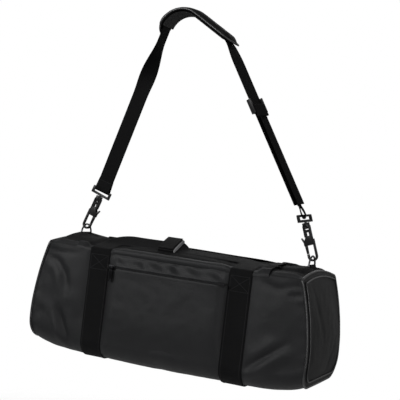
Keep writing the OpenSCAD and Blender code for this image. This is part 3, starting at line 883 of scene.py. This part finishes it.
def topPuff(x, y, group):
    # How far the padded top stands above its plain crown
    near = ease((abs(y) - case["coverY"]) / 16) * ease((case["depth"] / 2 - abs(y)) / 10)
    wave = 1.8 * noise.noise(Vector((x * 0.016, y * 0.02, group)))
    wave += 0.8 * noise.noise(Vector((x * 0.05, y * 0.05, group + 3)))
    middle = ease((wall["riserIn"] - 6 - abs(x)) / 30)
    outer = ease((abs(x) - wall["riserOut"] - 4) / 14)
    tall = top["puff"] * middle + top["lift"]
    tall += top["outerPuff"] * outer * ease((case["length"] / 2 - 22 - abs(x)) / 40)
    return near * (tall + wave * (0.3 + 0.7 * max(middle, outer)))


def flapPoint(x, t, s, out=0.0):
    # t runs from the wall's top edge (0) over the padded roll to the zip (1); s is -1 at the front
    edge = case["depth"] / 2
    start = edge - roll["inset"]
    free = 1 - ease((30 - abs(abs(x) - riser["x"])) / 8)       # 0 under a riser and a handle's leg
    full = roll["middle"] * ease((wall["riserIn"] + 2 - abs(x)) / 14)
    full += roll["outer"] * ease((abs(x) - 200) / 14)
    if t < roll["share"]:
        # Up the outside of the wall and round the padded roll
        turn = math.pi / 2 * clamp(t / roll["share"])
        y = start + (1.6 + 1.6 * free) * math.cos(turn) + full * 0.35 * math.sin(2 * turn)
        z = mix(roll["low"], roll["high"] + full, math.sin(turn))
        ny, nz = math.cos(turn), math.sin(turn)
    else:
        y = mix(start, case["coverY"], (t - roll["share"]) / (1 - roll["share"]))
        back = full * bell((start - y) / 9)
        dip = -1.6 * bell((y - edge + 19) / 6) * clamp(full / 4)
        z = roofZ(min(y, edge)) + topPuff(x, s * y, 4 + s) + back + dip
        ny, nz = 0, 1
    return Vector((x, s * (y + ny * out), z + nz * out))


def darkenTop(piece, reach):
    # The top between the two padded edges takes the darker top cloth, painted shade where the top faces away
    # from the light
    piece.data.materials.append(shadedTopCloth)
    for polygon in piece.data.polygons:
        polygon.material_index = 1 if abs(local(polygon.center).y) < reach else 0


def buildFlap(s, word):
    columns, rows = 140, 44
    xs = [mix(-top["flapX"], top["flapX"], i / columns) for i in range(columns + 1)]
    grid = [[flapPoint(x, j / rows, s) for x in xs] for j in range(rows + 1)]
    piece = sheet(word + "FlapCloth", grid, case["skin"], None, shellCloth, "shell_fabric",
                  [word + "_flap_cover"], 60)
    darkenTop(piece, top["shadedFlapReach"])
    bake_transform(piece)
    line = [(flapPoint(mix(-top["flapX"] + 6, top["flapX"] - 6, i / 80), 0.955, s, 0.6), (0, 0, 1))
            for i in range(81)]
    stitches(word + "FlapStitches", [line], word + "_flap")


def removeFaces(piece, test):
    # Deletes the faces whose centre, in the case's millimetres, passes the test
    activate(piece)
    bpy.ops.object.mode_set(mode="EDIT")
    bpy.ops.mesh.select_all(action="DESELECT")
    bpy.ops.mesh.select_mode(type="FACE")
    bpy.ops.object.mode_set(mode="OBJECT")
    for polygon in piece.data.polygons:
        polygon.select = test(local(polygon.center))
    bpy.ops.object.mode_set(mode="EDIT")
    bpy.ops.mesh.delete(type="FACE")
    bpy.ops.mesh.select_mode(type="VERT")
    bpy.ops.object.mode_set(mode="OBJECT")


strip = dict(puff=5.0, leftMound=9.0, rightMound=4.5, moundX=281, fold=-5.0)


def stripPuff(x, y, side):
    near = ease((abs(y) - case["coverY"]) / 16) * ease((case["depth"] / 2 - abs(y)) / 16)
    inside = ease((endX(240) - abs(x)) / 22)
    wave = 2.0 * noise.noise(Vector((x * 0.02, y * 0.022, 12)))
    mound = strip["leftMound"] if side < 0 else strip["rightMound"]
    mound *= bell((abs(x) - strip["moundX"]) / 30) * bell((y + 10) / 62)
    dip = 0.0
    if side > 0:       # the pressed fold at the right end
        dip = strip["fold"] * bell((y + 74 + (x - 260) * 0.25) / 13) * inside
    full = (strip["puff"] * near + wave * near) * inside
    return full + mound * ease((endX(240) + 4 - abs(x)) / 26) + dip


def buildStrip(side, word):
    columns, rows = 34, 88
    edge = case["depth"] / 2
    grid = []
    for j in range(rows + 1):
        v = 2 * j / rows - 1
        y = v * (edge + 1.2)
        row = []
        z = roofZ(y) if abs(y) < edge else 236.5        # the last row turns down over the wall
        for i in range(columns + 1):
            x = side * mix(case["stripX"], endX(z) - 1, i / columns)
            row.append(settle(x, y, z + (stripPuff(x, y, side) if abs(y) < edge else 0)))
        grid.append(row)
    piece = shapedGrid(word + "TopStrip", grid)
    removeFaces(piece, lambda c: abs(c.y) < case["coverY"] and abs(c.x) < case["stripX"] + top["zipEnd"])
    thicken(piece, case["skin"])
    finishPiece(piece, "case", shellCloth, "shell_fabric", [word + "_top_strip"], 60)
    darkenTop(piece, top["shadedStripReach"])


def zipTape(name, xs, s, body, replaced=()):
    rows = [[(x, s * y, roofZ(y) - case["skin"] - zipper["drop"]) for x in xs] for y in zipper["across"]]
    sheet(name, rows, zipper["tape"], body, zipTapeCloth, "zip_tape", replaced)


def buildTopZip():
    height = case["height"] + case["crown"] - case["skin"] - 0.55
    reach, pitch = top["flapX"], zipper["pitch"]
    for s, word in frontBack:
        zipTape(word + "ZipTape", [mix(-reach, reach, i / 90) for i in range(91)], s, word + "_flap",
                [word + "_zip_tape"])
        teeth(word + "Teeth", (-reach, s * zipper["side"], height), (reach, s * zipper["side"], height),
              (1, 0, 0), (0, 0, 1), word + "_flap", zipper["stagger"] if s > 0 else 0.0)
    # The fixed ends of the zip, on the strips
    ends = []
    x0, x1 = case["stripX"], case["stripX"] + top["zipEnd"]
    for side, word in leftRight:
        for s in (-1, 1):
            for k in range(int((x1 - x0) / pitch)):
                x = side * (x0 + 1 + k * pitch + (pitch / 2 if s > 0 else 0))
                ends.append(frameMatrix((x, s * zipper["side"], height), (1, 0, 0), (0, 0, 1)))
        for s, half in ((-1, "Front"), (1, "Back")):
            zipTape(word + "ZipEnd" + half, [side * mix(x0, x1 + 1, i / 12) for i in range(13)], s, "case")
    finishPiece(copies("zipEndTeeth", toothSeed(), ends), "case", coilPlastic, "zip_tape", ["zip_ends"], 40)


for s, word in frontBack:
    buildFlap(s, word)
for side, word in leftRight:
    buildStrip(side, word)
buildTopZip()
print("the top is built")

# Foam and lining
foamSlice = 15.7


def settledCopy(nodeName, paint, slotName):
    # The node's own solid, cut into slices so that it follows the hang of the case
    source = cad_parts[nodeName]
    piece = bpy.data.objects.new(nodeName + "Settled", source.data.copy())
    bpy.context.scene.collection.objects.link(piece)
    editAll(piece, mergeDoubles(0.01))
    activate(piece)
    bpy.ops.object.mode_set(mode="EDIT")
    for k in range(-20, 21):
        bpy.ops.mesh.select_all(action="SELECT")
        bpy.ops.mesh.bisect(plane_co=at(k * foamSlice, 0, 0), plane_no=(1, 0, 0))
    bpy.ops.object.mode_set(mode="OBJECT")
    for vertex in piece.data.vertices:
        vertex.co = at(*settle(*local(vertex.co)))
    editAll(piece, outwards)
    return finishPiece(piece, "case", paint, slotName, [nodeName], 40)


for word in ("front", "back", "base", "left", "right"):
    settledCopy(word + "_foam", foamMaterial, "foam")
for word in ("front", "back"):
    mouldedCopy(word + "_flap_foam", word + "_flap", liningCloth, "lining", 0.6)
settledCopy("lining", liningCloth, "lining")


def buildRimBinding():
    # Tape folded over the top of the foam between the lining and the outer cloth
    half = case["depth"] / 2 - 1.4
    profile = ((0.2, 229), (0.0, 234.5), (0.3, 236.6), (4.0, 237.2), (9.0, 236.4), (12.4, 233), (12.6, 227))
    rows = []
    for depth, z in profile:
        x, y = endX(238) - 1.6 - depth, half - depth
        corners = [(-x, -y), (x, -y), (x, y), (-x, y), (-x, -y)]
        row = []
        for (ax, ay), (bx, by) in zip(corners, corners[1:]):
            steps = 40 if abs(bx - ax) > abs(by - ay) else 16
            row += [(mix(ax, bx, k / steps), mix(ay, by, k / steps), z) for k in range(steps)]
        rows.append(row + [row[0]])
    piece = shapedGrid("rimBinding", rows)
    removeFaces(piece, lambda c: abs(c.x) > case["stripX"] + 8)
    thicken(piece, 0.7)
    finishPiece(piece, "case", zipTapeCloth, "lining", (), 60)


buildRimBinding()
print("the inside is built")

# Carry handles and the wrap on the front one's grip
wrap = dict(x=-32, length=38, width=55.5, low=-2.7, high=8.3, flap=1.6)
handle = dict(hingeY=121.2, hingeZ=241.2, midY=71.2, midZ=251.7, farY=27.2, farZ=272.2,
              stitchStart=10, stitchIn=4, corner=34.0, bend=12.0, step=1.5, lying=0.85)
legRun = math.hypot(handle["hingeY"] - handle["midY"], handle["midZ"] - handle["hingeZ"])
gripRun = math.hypot(handle["midY"] - handle["farY"], handle["farZ"] - handle["midZ"])


def handlePlane(x, w, s, lift, flat):
    # w is the distance from the hinge over the folded webbing; flat is 1 where the grip lies low
    lean1 = math.atan2(handle["midZ"] - handle["hingeZ"], handle["hingeY"] - handle["midY"])
    lean2 = math.atan2(handle["farZ"] - handle["midZ"], handle["midY"] - handle["farY"])
    lean2 = mix(lean2, 0.1, flat)
    bend = handle["bend"]
    y, z, run = handle["hingeY"], handle["hingeZ"], 0.0
    lean = lean1
    while run < w:
        lean = mix(lean1, lean2, ease((run - legRun + bend) / (2 * bend)))
        go = min(handle["step"], w - run)
        y -= go * math.cos(lean)
        z += go * math.sin(lean)
        run += go
    if w < 0:
        y, z = y + 0.6, z + w
    return Vector((x, s * (y + lift * math.sin(lean)), z + lift * math.cos(lean))), lean


def handleStations():
    # The webbing climbs from one riser, turns along the case as the grip and goes down to the other
    mid = legRun + gripRun / 2
    r = handle["corner"]
    made = []
    flat = []
    x0 = -riser["x"]
    for k in range(10):
        flat.append((x0, mix(-1.5, mid - r, k / 10), 0.0))
    for k in range(13):
        a = math.pi / 2 * k / 12
        flat.append((x0 + r * (1 - math.cos(a)), mid - r + r * math.sin(a), a))
    for k in range(1, 60):
        flat.append((mix(x0 + r, -x0 - r, k / 60), mid, math.pi / 2))
    for k in range(13):
        a = math.pi / 2 * (1 - k / 12)
        flat.append((-x0 - r * (1 - math.cos(a)), mid - r + r * math.sin(a), a))
    for k in range(1, 11):
        flat.append((-x0, mix(mid - r, -1.5, k / 10), math.pi))
    for x, w, a in flat:
        across = a if x < 0 else (math.pi - a if a < math.pi else math.pi)
        wideX, wideW = math.cos(across), -math.sin(across)
        made.append((x, w, wideX, wideW))
    return made


def lying(x, s):
    # The back grip lies low; the front one does so between the wrap and its right leg
    if s > 0:
        return handle["lying"]
    return ease((x - wrap["x"] - wrap["length"] / 2 - 2) / 18) * handle["lying"]


def handlePoint(station, q, s, lift):
    # A point q across the webbing, lifted off its middle, and the lean there
    x, w, wideX, wideW = station
    px, pw = x + wideX * q, min(w + wideW * q, legRun + gripRun)
    return handlePlane(px, pw, s, lift, lying(px, s))


def buildHandle(s, word, droop):
    rows = []
    half = riser["width"] / 2 - 0.8
    t = riser["thickness"] / 2
    flat = 12
    for station in handleStations():
        lift = droop(*station[:2])
        topRow, lowRow = [], []
        for i in range(flat + 1):
            q = mix(-half, half, i / flat)
            thin = t * (0.45 if i in (0, flat) else 1.0)
            topRow.append(handlePoint(station, q, s, lift + thin)[0])
            lowRow.append(handlePoint(station, q, s, lift - thin)[0])
        rows.append(topRow + lowRow[::-1] + [topRow[0]])
    piece = closedGrid(word + "Handle", rows)
    finishPiece(piece, word + "_handle", caseWebbing, "webbing", [word + "_handle"], 60)
    lines = []
    for edge in (-1, 1):
        line = []
        for station in handleStations():
            lift = droop(*station[:2]) + t
            point, lean = handlePoint(station, edge * (half - handle["stitchIn"]), s, lift)
            if station[1] > handle["stitchStart"]:
                line.append((point, (0, s * math.sin(lean), math.cos(lean))))
        lines.append(line)
    stitches(word + "HandleStitches", lines, word + "_handle")


buildHandle(-1, "front", lambda x, w: 1.2 * ease((w - 20) / 30) * math.sin(x / 46 + 0.6))
buildHandle(1, "back", lambda x, w: 1.0 * ease((w - 20) / 30) * math.sin(x / 52 + 2.2))


def buildWrap():
    # The frame of the grip: across runs away from the hinge, out leaves the webbing's face
    lean = math.atan2(handle["farZ"] - handle["midZ"], handle["midY"] - handle["farY"])
    centre = Vector((wrap["x"], -(handle["midY"] + handle["farY"]) / 2,
                     (handle["midZ"] + handle["farZ"]) / 2))
    across = Vector((0, math.cos(lean), math.sin(lean)))
    out = Vector((0, -math.sin(lean), math.cos(lean)))

    def ringAt(x, grow):
        ring = []
        half, low, high = wrap["width"] / 2 + grow, wrap["low"] - grow, wrap["high"] + grow
        for k in range(48):
            a = 2 * math.pi * k / 48
            c, n = math.cos(a), math.sin(a)
            q = half * signedPower(c, 0.38)
            h = mix(low, high, 0.5 + 0.5 * signedPower(n, 0.38))
            h += 1.0 * math.cos(q / half * math.pi / 2) if n > 0 else 0
            ring.append(centre + Vector((x, 0, 0)) + across * q + out * h)
        return ring + [ring[0]]

    def sleeve(name, stops, paint, replaced=()):
        piece = closedGrid(name, [ringAt(x, grow) for x, grow in stops])
        finishPiece(piece, "front_handle", paint, "wrap_cloth", replaced, 50)

    half = wrap["length"] / 2
    stops = [(-half, -2.2), (-half, -0.8), (-half + 0.8, -0.1), (-half + 2, 0.1)]
    stops += [(mix(-half + 4, half - 4, k / 10), 0.1 + 0.25 * math.sin(k * 1.7)) for k in range(11)]
    stops += [(half - 2, 0.1), (half - 0.8, -0.1), (half, -0.8), (half, -2.2)]
    sleeve("handleWrapCloth", stops, padCloth, ["handle_wrap"])
    # The loop-side strip that shows at the right edge, light grey partly as its own colour and partly as a
    # painted highlight
    stops = [(half - 0.4, -0.7), (half + 1.2, -0.8), (half + 2.2, -1.4), (half + 2.2, -3.0)]
    sleeve("wrapEdge", stops, velcroHighlightMaterial)
    rows = []
    for j in range(13):
        q = mix(-wrap["width"] / 2 + 0.5, wrap["width"] / 2 - 1.2, j / 12)
        h = wrap["high"] + 0.6 + 1.0 * math.cos(q / (wrap["width"] / 2) * math.pi / 2) + wrap["flap"] / 2
        rows.append([centre + Vector((mix(-half + 1, half - 1, i / 12), 0, 0)) + across * q + out * h
                     for i in range(13)])
    flap = shapedGrid("wrapFlapCloth", rows)
    thicken(flap, wrap["flap"])
    applyModifier(flap, "BEVEL", width=0.5 * mm, segments=2, limit_method="ANGLE",
                  angle_limit=math.radians(50))
    finishPiece(flap, "wrap_flap", padCloth, "wrap_cloth", ["wrap_flap"], 50)
    line = [(centre + Vector((mix(-half + 4, half - 4, i / 10), 0, 0)) + across * (-wrap["width"] / 2 + 4)
             + out * (wrap["high"] + 2.6), tuple(out)) for i in range(11)]
    stitches("wrapStitches", [line], "wrap_flap")


buildWrap()
print("the handles and wrap are built")

# Rings, tabs, hooks and zip hardware
for word in ("left", "right"):
    dress(word + "_ring", ringMetal)
    mouldedCopy(word + "_hook", word + "_hook", hookPlastic, "hook_plastic", 0.7)
    mouldedCopy(word + "_gate", word + "_gate", hookPlastic, "hook_plastic", 0.5)
    mouldedCopy(word + "_eye", "strap", hookPlastic, "hook_plastic", 0.8)
mouldedCopy("strap_adjuster", "adjuster", hookPlastic, "hook_plastic", 0.7)
for word in ("zip_slider", "zip_pull", "pocket_slider", "pocket_pull"):
    mouldedCopy(word, word, zipMetal, "zip_metal", 0.25)

ringTab = dict(x=276, barZ=261, radius=3.3, width=38, thickness=1.9, foot=249, spread=2.4)


def buildTab(side, word):
    stations = []
    for k in range(25):
        t = k / 24
        if t < 0.3:
            x = -ringTab["radius"] - ringTab["spread"] * (1 - t / 0.3) ** 2
            z = mix(ringTab["foot"], ringTab["barZ"], t / 0.3)
            out = (-1, 0, 0)
        elif t <= 0.7:
            a = math.pi * (t - 0.3) / 0.4
            x, z = -ringTab["radius"] * math.cos(a), ringTab["barZ"] + ringTab["radius"] * math.sin(a)
            out = (-math.cos(a), 0, math.sin(a))
        else:
            x = ringTab["radius"] + ringTab["spread"] * ((t - 0.7) / 0.3) ** 2
            z = mix(ringTab["barZ"], ringTab["foot"], (t - 0.7) / 0.3)
            out = (1, 0, 0)
        stations.append((Vector((side * ringTab["x"] + x, 0, z)), (0, 1, 0), out))
    webbing(word + "RingTab", stations, ringTab["width"], ringTab["thickness"], "case", caseWebbing,
            word + "_ring_tab")


for side, word in leftRight:
    buildTab(side, word)
print("the hardware is dressed")

# Shoulder strap, along the same route as its frame
strap = dict(width=38, thickness=2.2, loop=26, turn=18, twistLow=590, twistHigh=722, step=6,
             shoulder=(-111, 814), shoulderR=51, neck=(28, 727), neckR=60,
             ring=(276, 283), hook=88, lean=math.radians(20), adjuster=262, adjusterHalf=28, travel=160)
pad = dict(width=60, foam=10, cover=1.4, backing=1.6, run=115, start=14)
hookRun = Vector((math.sin(strap["lean"]), math.cos(strap["lean"]))) * strap["hook"]
leftBar = Vector((-strap["ring"][0], strap["ring"][1])) + hookRun
rightBar = Vector(strap["ring"]) + Vector((-hookRun.x, hookRun.y))
shoulderCorner, neckCorner = Vector(strap["shoulder"]), Vector(strap["neck"])


def lifted(p, y=0.0):
    # A route point or direction, in X and Z, as a full vector
    return Vector((p.x, y, p.y))


def normalOf(run):
    # To the left of a direction of the route
    return Vector((-run.y, 0, run.x))


def runAt(line, i):
    return (line[min(i + 1, len(line) - 1)] - line[max(i - 1, 0)]).normalized()


def roundCorner(a, corner, b, radius, count):
    before, after = (corner - a).normalized(), (b - corner).normalized()
    half = before.angle(after) / 2
    centre = corner + (after - before).normalized() * radius / math.cos(half)
    start = corner - before * radius * math.tan(half) - centre
    made = []
    for i in range(count + 1):
        t = -2 * half * i / count
        made.append(centre + Vector((start.x * math.cos(t) - start.y * math.sin(t),
                                     start.x * math.sin(t) + start.y * math.cos(t))))
    return made


def alongLine(a, b, step):
    count = max(1, round((b - a).length / step))
    return [a.lerp(b, i / count) for i in range(count)]


leftRun = (shoulderCorner - leftBar).normalized()
rightRun = (neckCorner - rightBar).normalized()
overRun = (neckCorner - shoulderCorner).normalized()
shoulderArc = roundCorner(leftBar, shoulderCorner, neckCorner, strap["shoulderR"], 28)
neckArc = roundCorner(shoulderCorner, neckCorner, rightBar, strap["neckR"], 8)
strapEnd = rightBar + rightRun * strap["loop"]
strapLine = alongLine(leftBar + leftRun * strap["loop"], shoulderArc[0], strap["step"]) + shoulderArc
strapLine += alongLine(shoulderArc[-1], neckArc[0], strap["step"])[1:] + neckArc
strapLine += alongLine(neckArc[-1], strapEnd, strap["step"])[1:] + [strapEnd]


def strapTurn(p):
    # Angle of the webbing's width from the X direction towards Y
    if p.x < shoulderArc[0].x:
        return 180 - 90 * ease((p.y - strap["twistLow"]) / (strap["twistHigh"] - strap["twistLow"]))
    return 90 - strap["turn"] * ease((p.x - neckArc[0].x) / 40)


def turned(run, degrees):
    # Directions of the webbing's width and out of its face
    outer, across, turn = normalOf(run), Vector((0, 1, 0)), math.radians(degrees)
    return (outer * math.cos(turn) + across * math.sin(turn),
            outer * math.sin(turn) - across * math.cos(turn))


def strapStations(line):
    made = []
    for i, p in enumerate(line):
        wide, out = turned(runAt(line, i), strapTurn(p))
        made.append((lifted(p), wide, out))
    return made


def buildStrap():
    webbing("shoulderWebbing", strapStations(strapLine), strap["width"], strap["thickness"], "strap",
            strapWebbing, "shoulder_strap", 10)
    # The doubled length below the adjuster, laid straight from the loop up to the adjuster
    run, base = lifted(rightRun), lifted(rightBar)
    wide, out = turned(rightRun, 90 - strap["turn"])
    gap = strap["thickness"] + 0.2
    top = strap["adjuster"] - strap["adjusterHalf"]
    stations = [(base + run * mix(strap["loop"], top, k / 40) + out * gap, wide, out) for k in range(41)]
    piece = webbing("strapReturnWebbing", stations, strap["width"], strap["thickness"], "strap",
                    strapWebbing, "strap_return", 10)
    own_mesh(piece)


def loopPiece(name, node, bar, run, wide):
    # Webbing that comes down one side of the bar and goes back up the other
    bar, run, wide = lifted(bar), lifted(run), Vector(wide).normalized()
    out = wide.cross(run).normalized()
    radius = 2.5 + strap["thickness"] / 2 + 0.1
    meet = strap["thickness"] / 2 + 0.1
    stations = []
    for k in range(12):
        t = k / 12
        point = bar + run * mix(strap["loop"], 0, t) + out * mix(meet, radius, ease(t * 1.2))
        stations.append((point, wide, out))
    for k in range(13):
        a = math.pi * k / 12
        stations.append((bar + out * radius * math.cos(a) - run * radius * math.sin(a), wide,
                         out * math.cos(a) - run * math.sin(a)))
    for k in range(1, 13):
        t = k / 12
        point = bar + run * mix(0, strap["loop"], t) - out * mix(radius, meet, ease((t - 0.17) * 1.2))
        stations.append((point, wide, -out))
    webbing(name, stations, strap["width"], strap["thickness"], "strap", strapWebbing, node, 10)
    lines = []
    face = strap["thickness"] + 0.2
    for side in (-1, 1):
        for d in (12, 16, 22):
            start = bar + run * d + out * side * (face + 0.3) - wide * 15
            lines.append([(start, tuple(out * side)), (start + wide * 30, tuple(out * side))])
    stitches(name + "Stitches", lines, "strap")


buildStrap()
loopPiece("leftLoopWebbing", "left_strap_loop", leftBar, leftRun, -normalOf(leftRun))
loopPiece("rightLoopWebbing", "right_strap_loop", rightBar, rightRun, turned(rightRun, 90 - strap["turn"])[0])
dress("adjuster_loop", strapWebbing)

# Shoulder pad
padNear, padFar = shoulderArc[0] - leftRun * pad["start"], shoulderArc[-1] + overRun * pad["run"]
padLine = alongLine(padNear, shoulderArc[0], 5) + shoulderArc
padLine += alongLine(shoulderArc[-1], padFar, 5)[1:] + [padFar]


def padRing(point, out, across, half, low, high):
    ring = []
    for k in range(40):
        a = 2 * math.pi * k / 40
        c, n = math.cos(a), math.sin(a)
        q = half * signedPower(c, 0.62)
        h = mix(low, high, 0.5 + 0.5 * signedPower(n, 0.8))
        ring.append(point + across * q + out * h)
    return ring + [ring[0]]


def buildPad():
    rows, outline = [], []
    low = strap["thickness"] / 2 + 0.6
    high = pad["foam"] + pad["cover"] - 0.2
    spots = [0.0]
    for a, b in zip(padLine, padLine[1:]):
        spots.append(spots[-1] + (b - a).length)
    for i, p in enumerate(padLine):
        out, across = normalOf(runAt(padLine, i)), Vector((0, 1, 0))
        near = min(spots[i], spots[-1] - spots[i])
        half = (pad["width"] / 2 - 1) * math.sqrt(clamp(1 - (1 - clamp(near / 30 + 0.06)) ** 2))
        thin = mix(0.35, 0.86, ease(near / 22))
        rows.append(padRing(lifted(p), out, across, half, low, low + high * thin))
        outline.append((lifted(p), out, across, half))
    piece = closedGrid("shoulderPad", rows)
    inflate(piece, 4, 4.0, 3.0)
    applyModifier(piece, "SMOOTH", factor=0.5, iterations=3)
    floorHeight = strap["thickness"] / 2 + 0.15
    for vertex in piece.data.vertices:       # the underside stays on the webbing
        spot = local(vertex.co)
        point, out, across, half = min(outline, key=lambda row: (row[0] - Vector((spot.x, 0, spot.z))).length)
        height = (spot - point).dot(out)
        if height < floorHeight:
            vertex.co += out * (floorHeight - height) * mm
        # Two sewn channels run along the pad
        for q in (-11.5, 11.5):
            vertex.co -= out * 1.5 * bell((spot.y - q) / 2.2) * ease((height - 5) / 4) * mm
    applyModifier(piece, "SUBSURF", levels=1, render_levels=1)
    finishPiece(piece, "strap", padCloth, "wrap_cloth", ["pad_cover", "pad_foam"], 60)
    # Bound edge round the pad
    edge = []
    for side, line in ((1, outline), (-1, outline[::-1])):
        edge += [point + out * (low + 3) + across * side * (half + 0.6) for point, out, across, half in line]
    cord = tube("padBinding", edge, 1.9)
    finishPiece(cord, "strap", pipingHighlightCloth, "piping", (), 60)
    drop = strap["thickness"] / 2 + pad["backing"] / 2 + 0.1
    stations = [(point - out * drop, across, out) for point, out, across, half in outline[4:-5]]
    back = band("padBacking", stations, pad["width"] - 6, pad["backing"], 14)
    finishPiece(back, "strap", meshMaterial, "mesh", ["pad_backing"], 60)


buildPad()
print("the strap and pad are built")

# Floor, light and camera
studio = dict(azimuth=23.28, elevation=0.59, roll=6.84, distance=2153.2, target=(2.27, 0, 371.56),
              lens=86.99, floorDrop=560, floorR=2300, ambient=0.28, below=0.03, backdrop=1.0)


def buildStudio():
    bpy.ops.object.select_all(action="DESELECT")
    bpy.ops.mesh.primitive_circle_add(vertices=96, radius=studio["floorR"] * mm, fill_type="NGON",
                                      location=at(0, 0, -studio["floorDrop"]))
    floor = bpy.context.object
    floor.name = "studioFloor"
    made, tree, shader = newMaterial("studioPaint")
    setFinish(shader, Base_Color=(0.8, 0.8, 0.8, 1), Roughness=0.9)
    # The floor fades out into the white round it
    place = addNode(tree, "TexCoord").outputs["Object"]
    reach = addNode(tree, "VectorMath", {0: place}, operation="LENGTH").outputs["Value"]
    fade = addNode(tree, "MapRange", {"Value": reach, "From Min": 0.2, "To Min": 1.0, "To Max": 0.0,
                                      "From Max": studio["floorR"] * mm * 0.96},
                   interpolation_type="SMOOTHSTEP")
    tree.links.new(fade.outputs[0], shader.inputs["Alpha"])
    floor.data.materials.append(made)
    world = bpy.data.worlds.new("studioWorld")
    bpy.context.scene.world = world
    world.use_nodes = True
    bpy.context.scene.view_settings.view_transform = "Standard"
    tree = world.node_tree
    background = tree.nodes["Background"]
    background.inputs[0].default_value = (1, 1, 1, 1)
    seen = addNode(tree, "LightPath").outputs["Is Camera Ray"]
    # Less light comes from below than from above
    heading = addNode(tree, "TexCoord").outputs["Generated"]
    rise = addNode(tree, "SeparateXYZ", {0: heading}).outputs["Z"]
    soft = addNode(tree, "MapRange", {"Value": rise, "From Min": -0.7, "From Max": 0.3,
                                      "To Min": studio["below"], "To Max": studio["ambient"]})
    level = addNode(tree, "MapRange",
                    {"Value": seen, "To Min": soft.outputs[0], "To Max": studio["backdrop"]})
    tree.links.new(level.outputs[0], background.inputs[1])
    lamps = (("keyLight", (-1500, -2400, 1500), 1.1, 40), ("fillLight", (2300, -2000, 500), 1.4, 15),
             ("backLight", (-600, 2300, 1500), 1.6, 4))
    for name, spot, size, power in lamps:
        lamp = bpy.data.lights.new(name, "AREA")
        lamp.size = size
        lamp.energy = power
        holder = bpy.data.objects.new(name, lamp)
        bpy.context.scene.collection.objects.link(holder)
        holder.location = at(*spot)
        aim = at(0, 0, 250) - holder.location
        holder.rotation_euler = aim.to_track_quat("-Z", "Y").to_euler()
    azimuth, elevation, roll = (math.radians(studio[key]) for key in ("azimuth", "elevation", "roll"))
    ahead = Vector((-math.sin(azimuth) * math.cos(elevation), math.cos(azimuth) * math.cos(elevation),
                    -math.sin(elevation)))
    level = Vector((math.cos(azimuth), math.sin(azimuth), 0))
    upright = level.cross(ahead)
    right = level * math.cos(roll) + upright * math.sin(roll)
    above = upright * math.cos(roll) - level * math.sin(roll)
    lens = bpy.data.cameras.new("camera")
    lens.lens = studio["lens"]
    lens.sensor_width = 36
    lens.clip_end = 100
    camera = bpy.data.objects.new("camera", lens)
    bpy.context.scene.collection.objects.link(camera)
    spin = Matrix((right, above, -ahead)).transposed().to_4x4()
    camera.matrix_world = Matrix.Translation(at(*studio["target"]) - ahead * studio["distance"] * mm) @ spin
    bpy.context.scene.camera = camera


buildStudio()
print("the studio is ready")
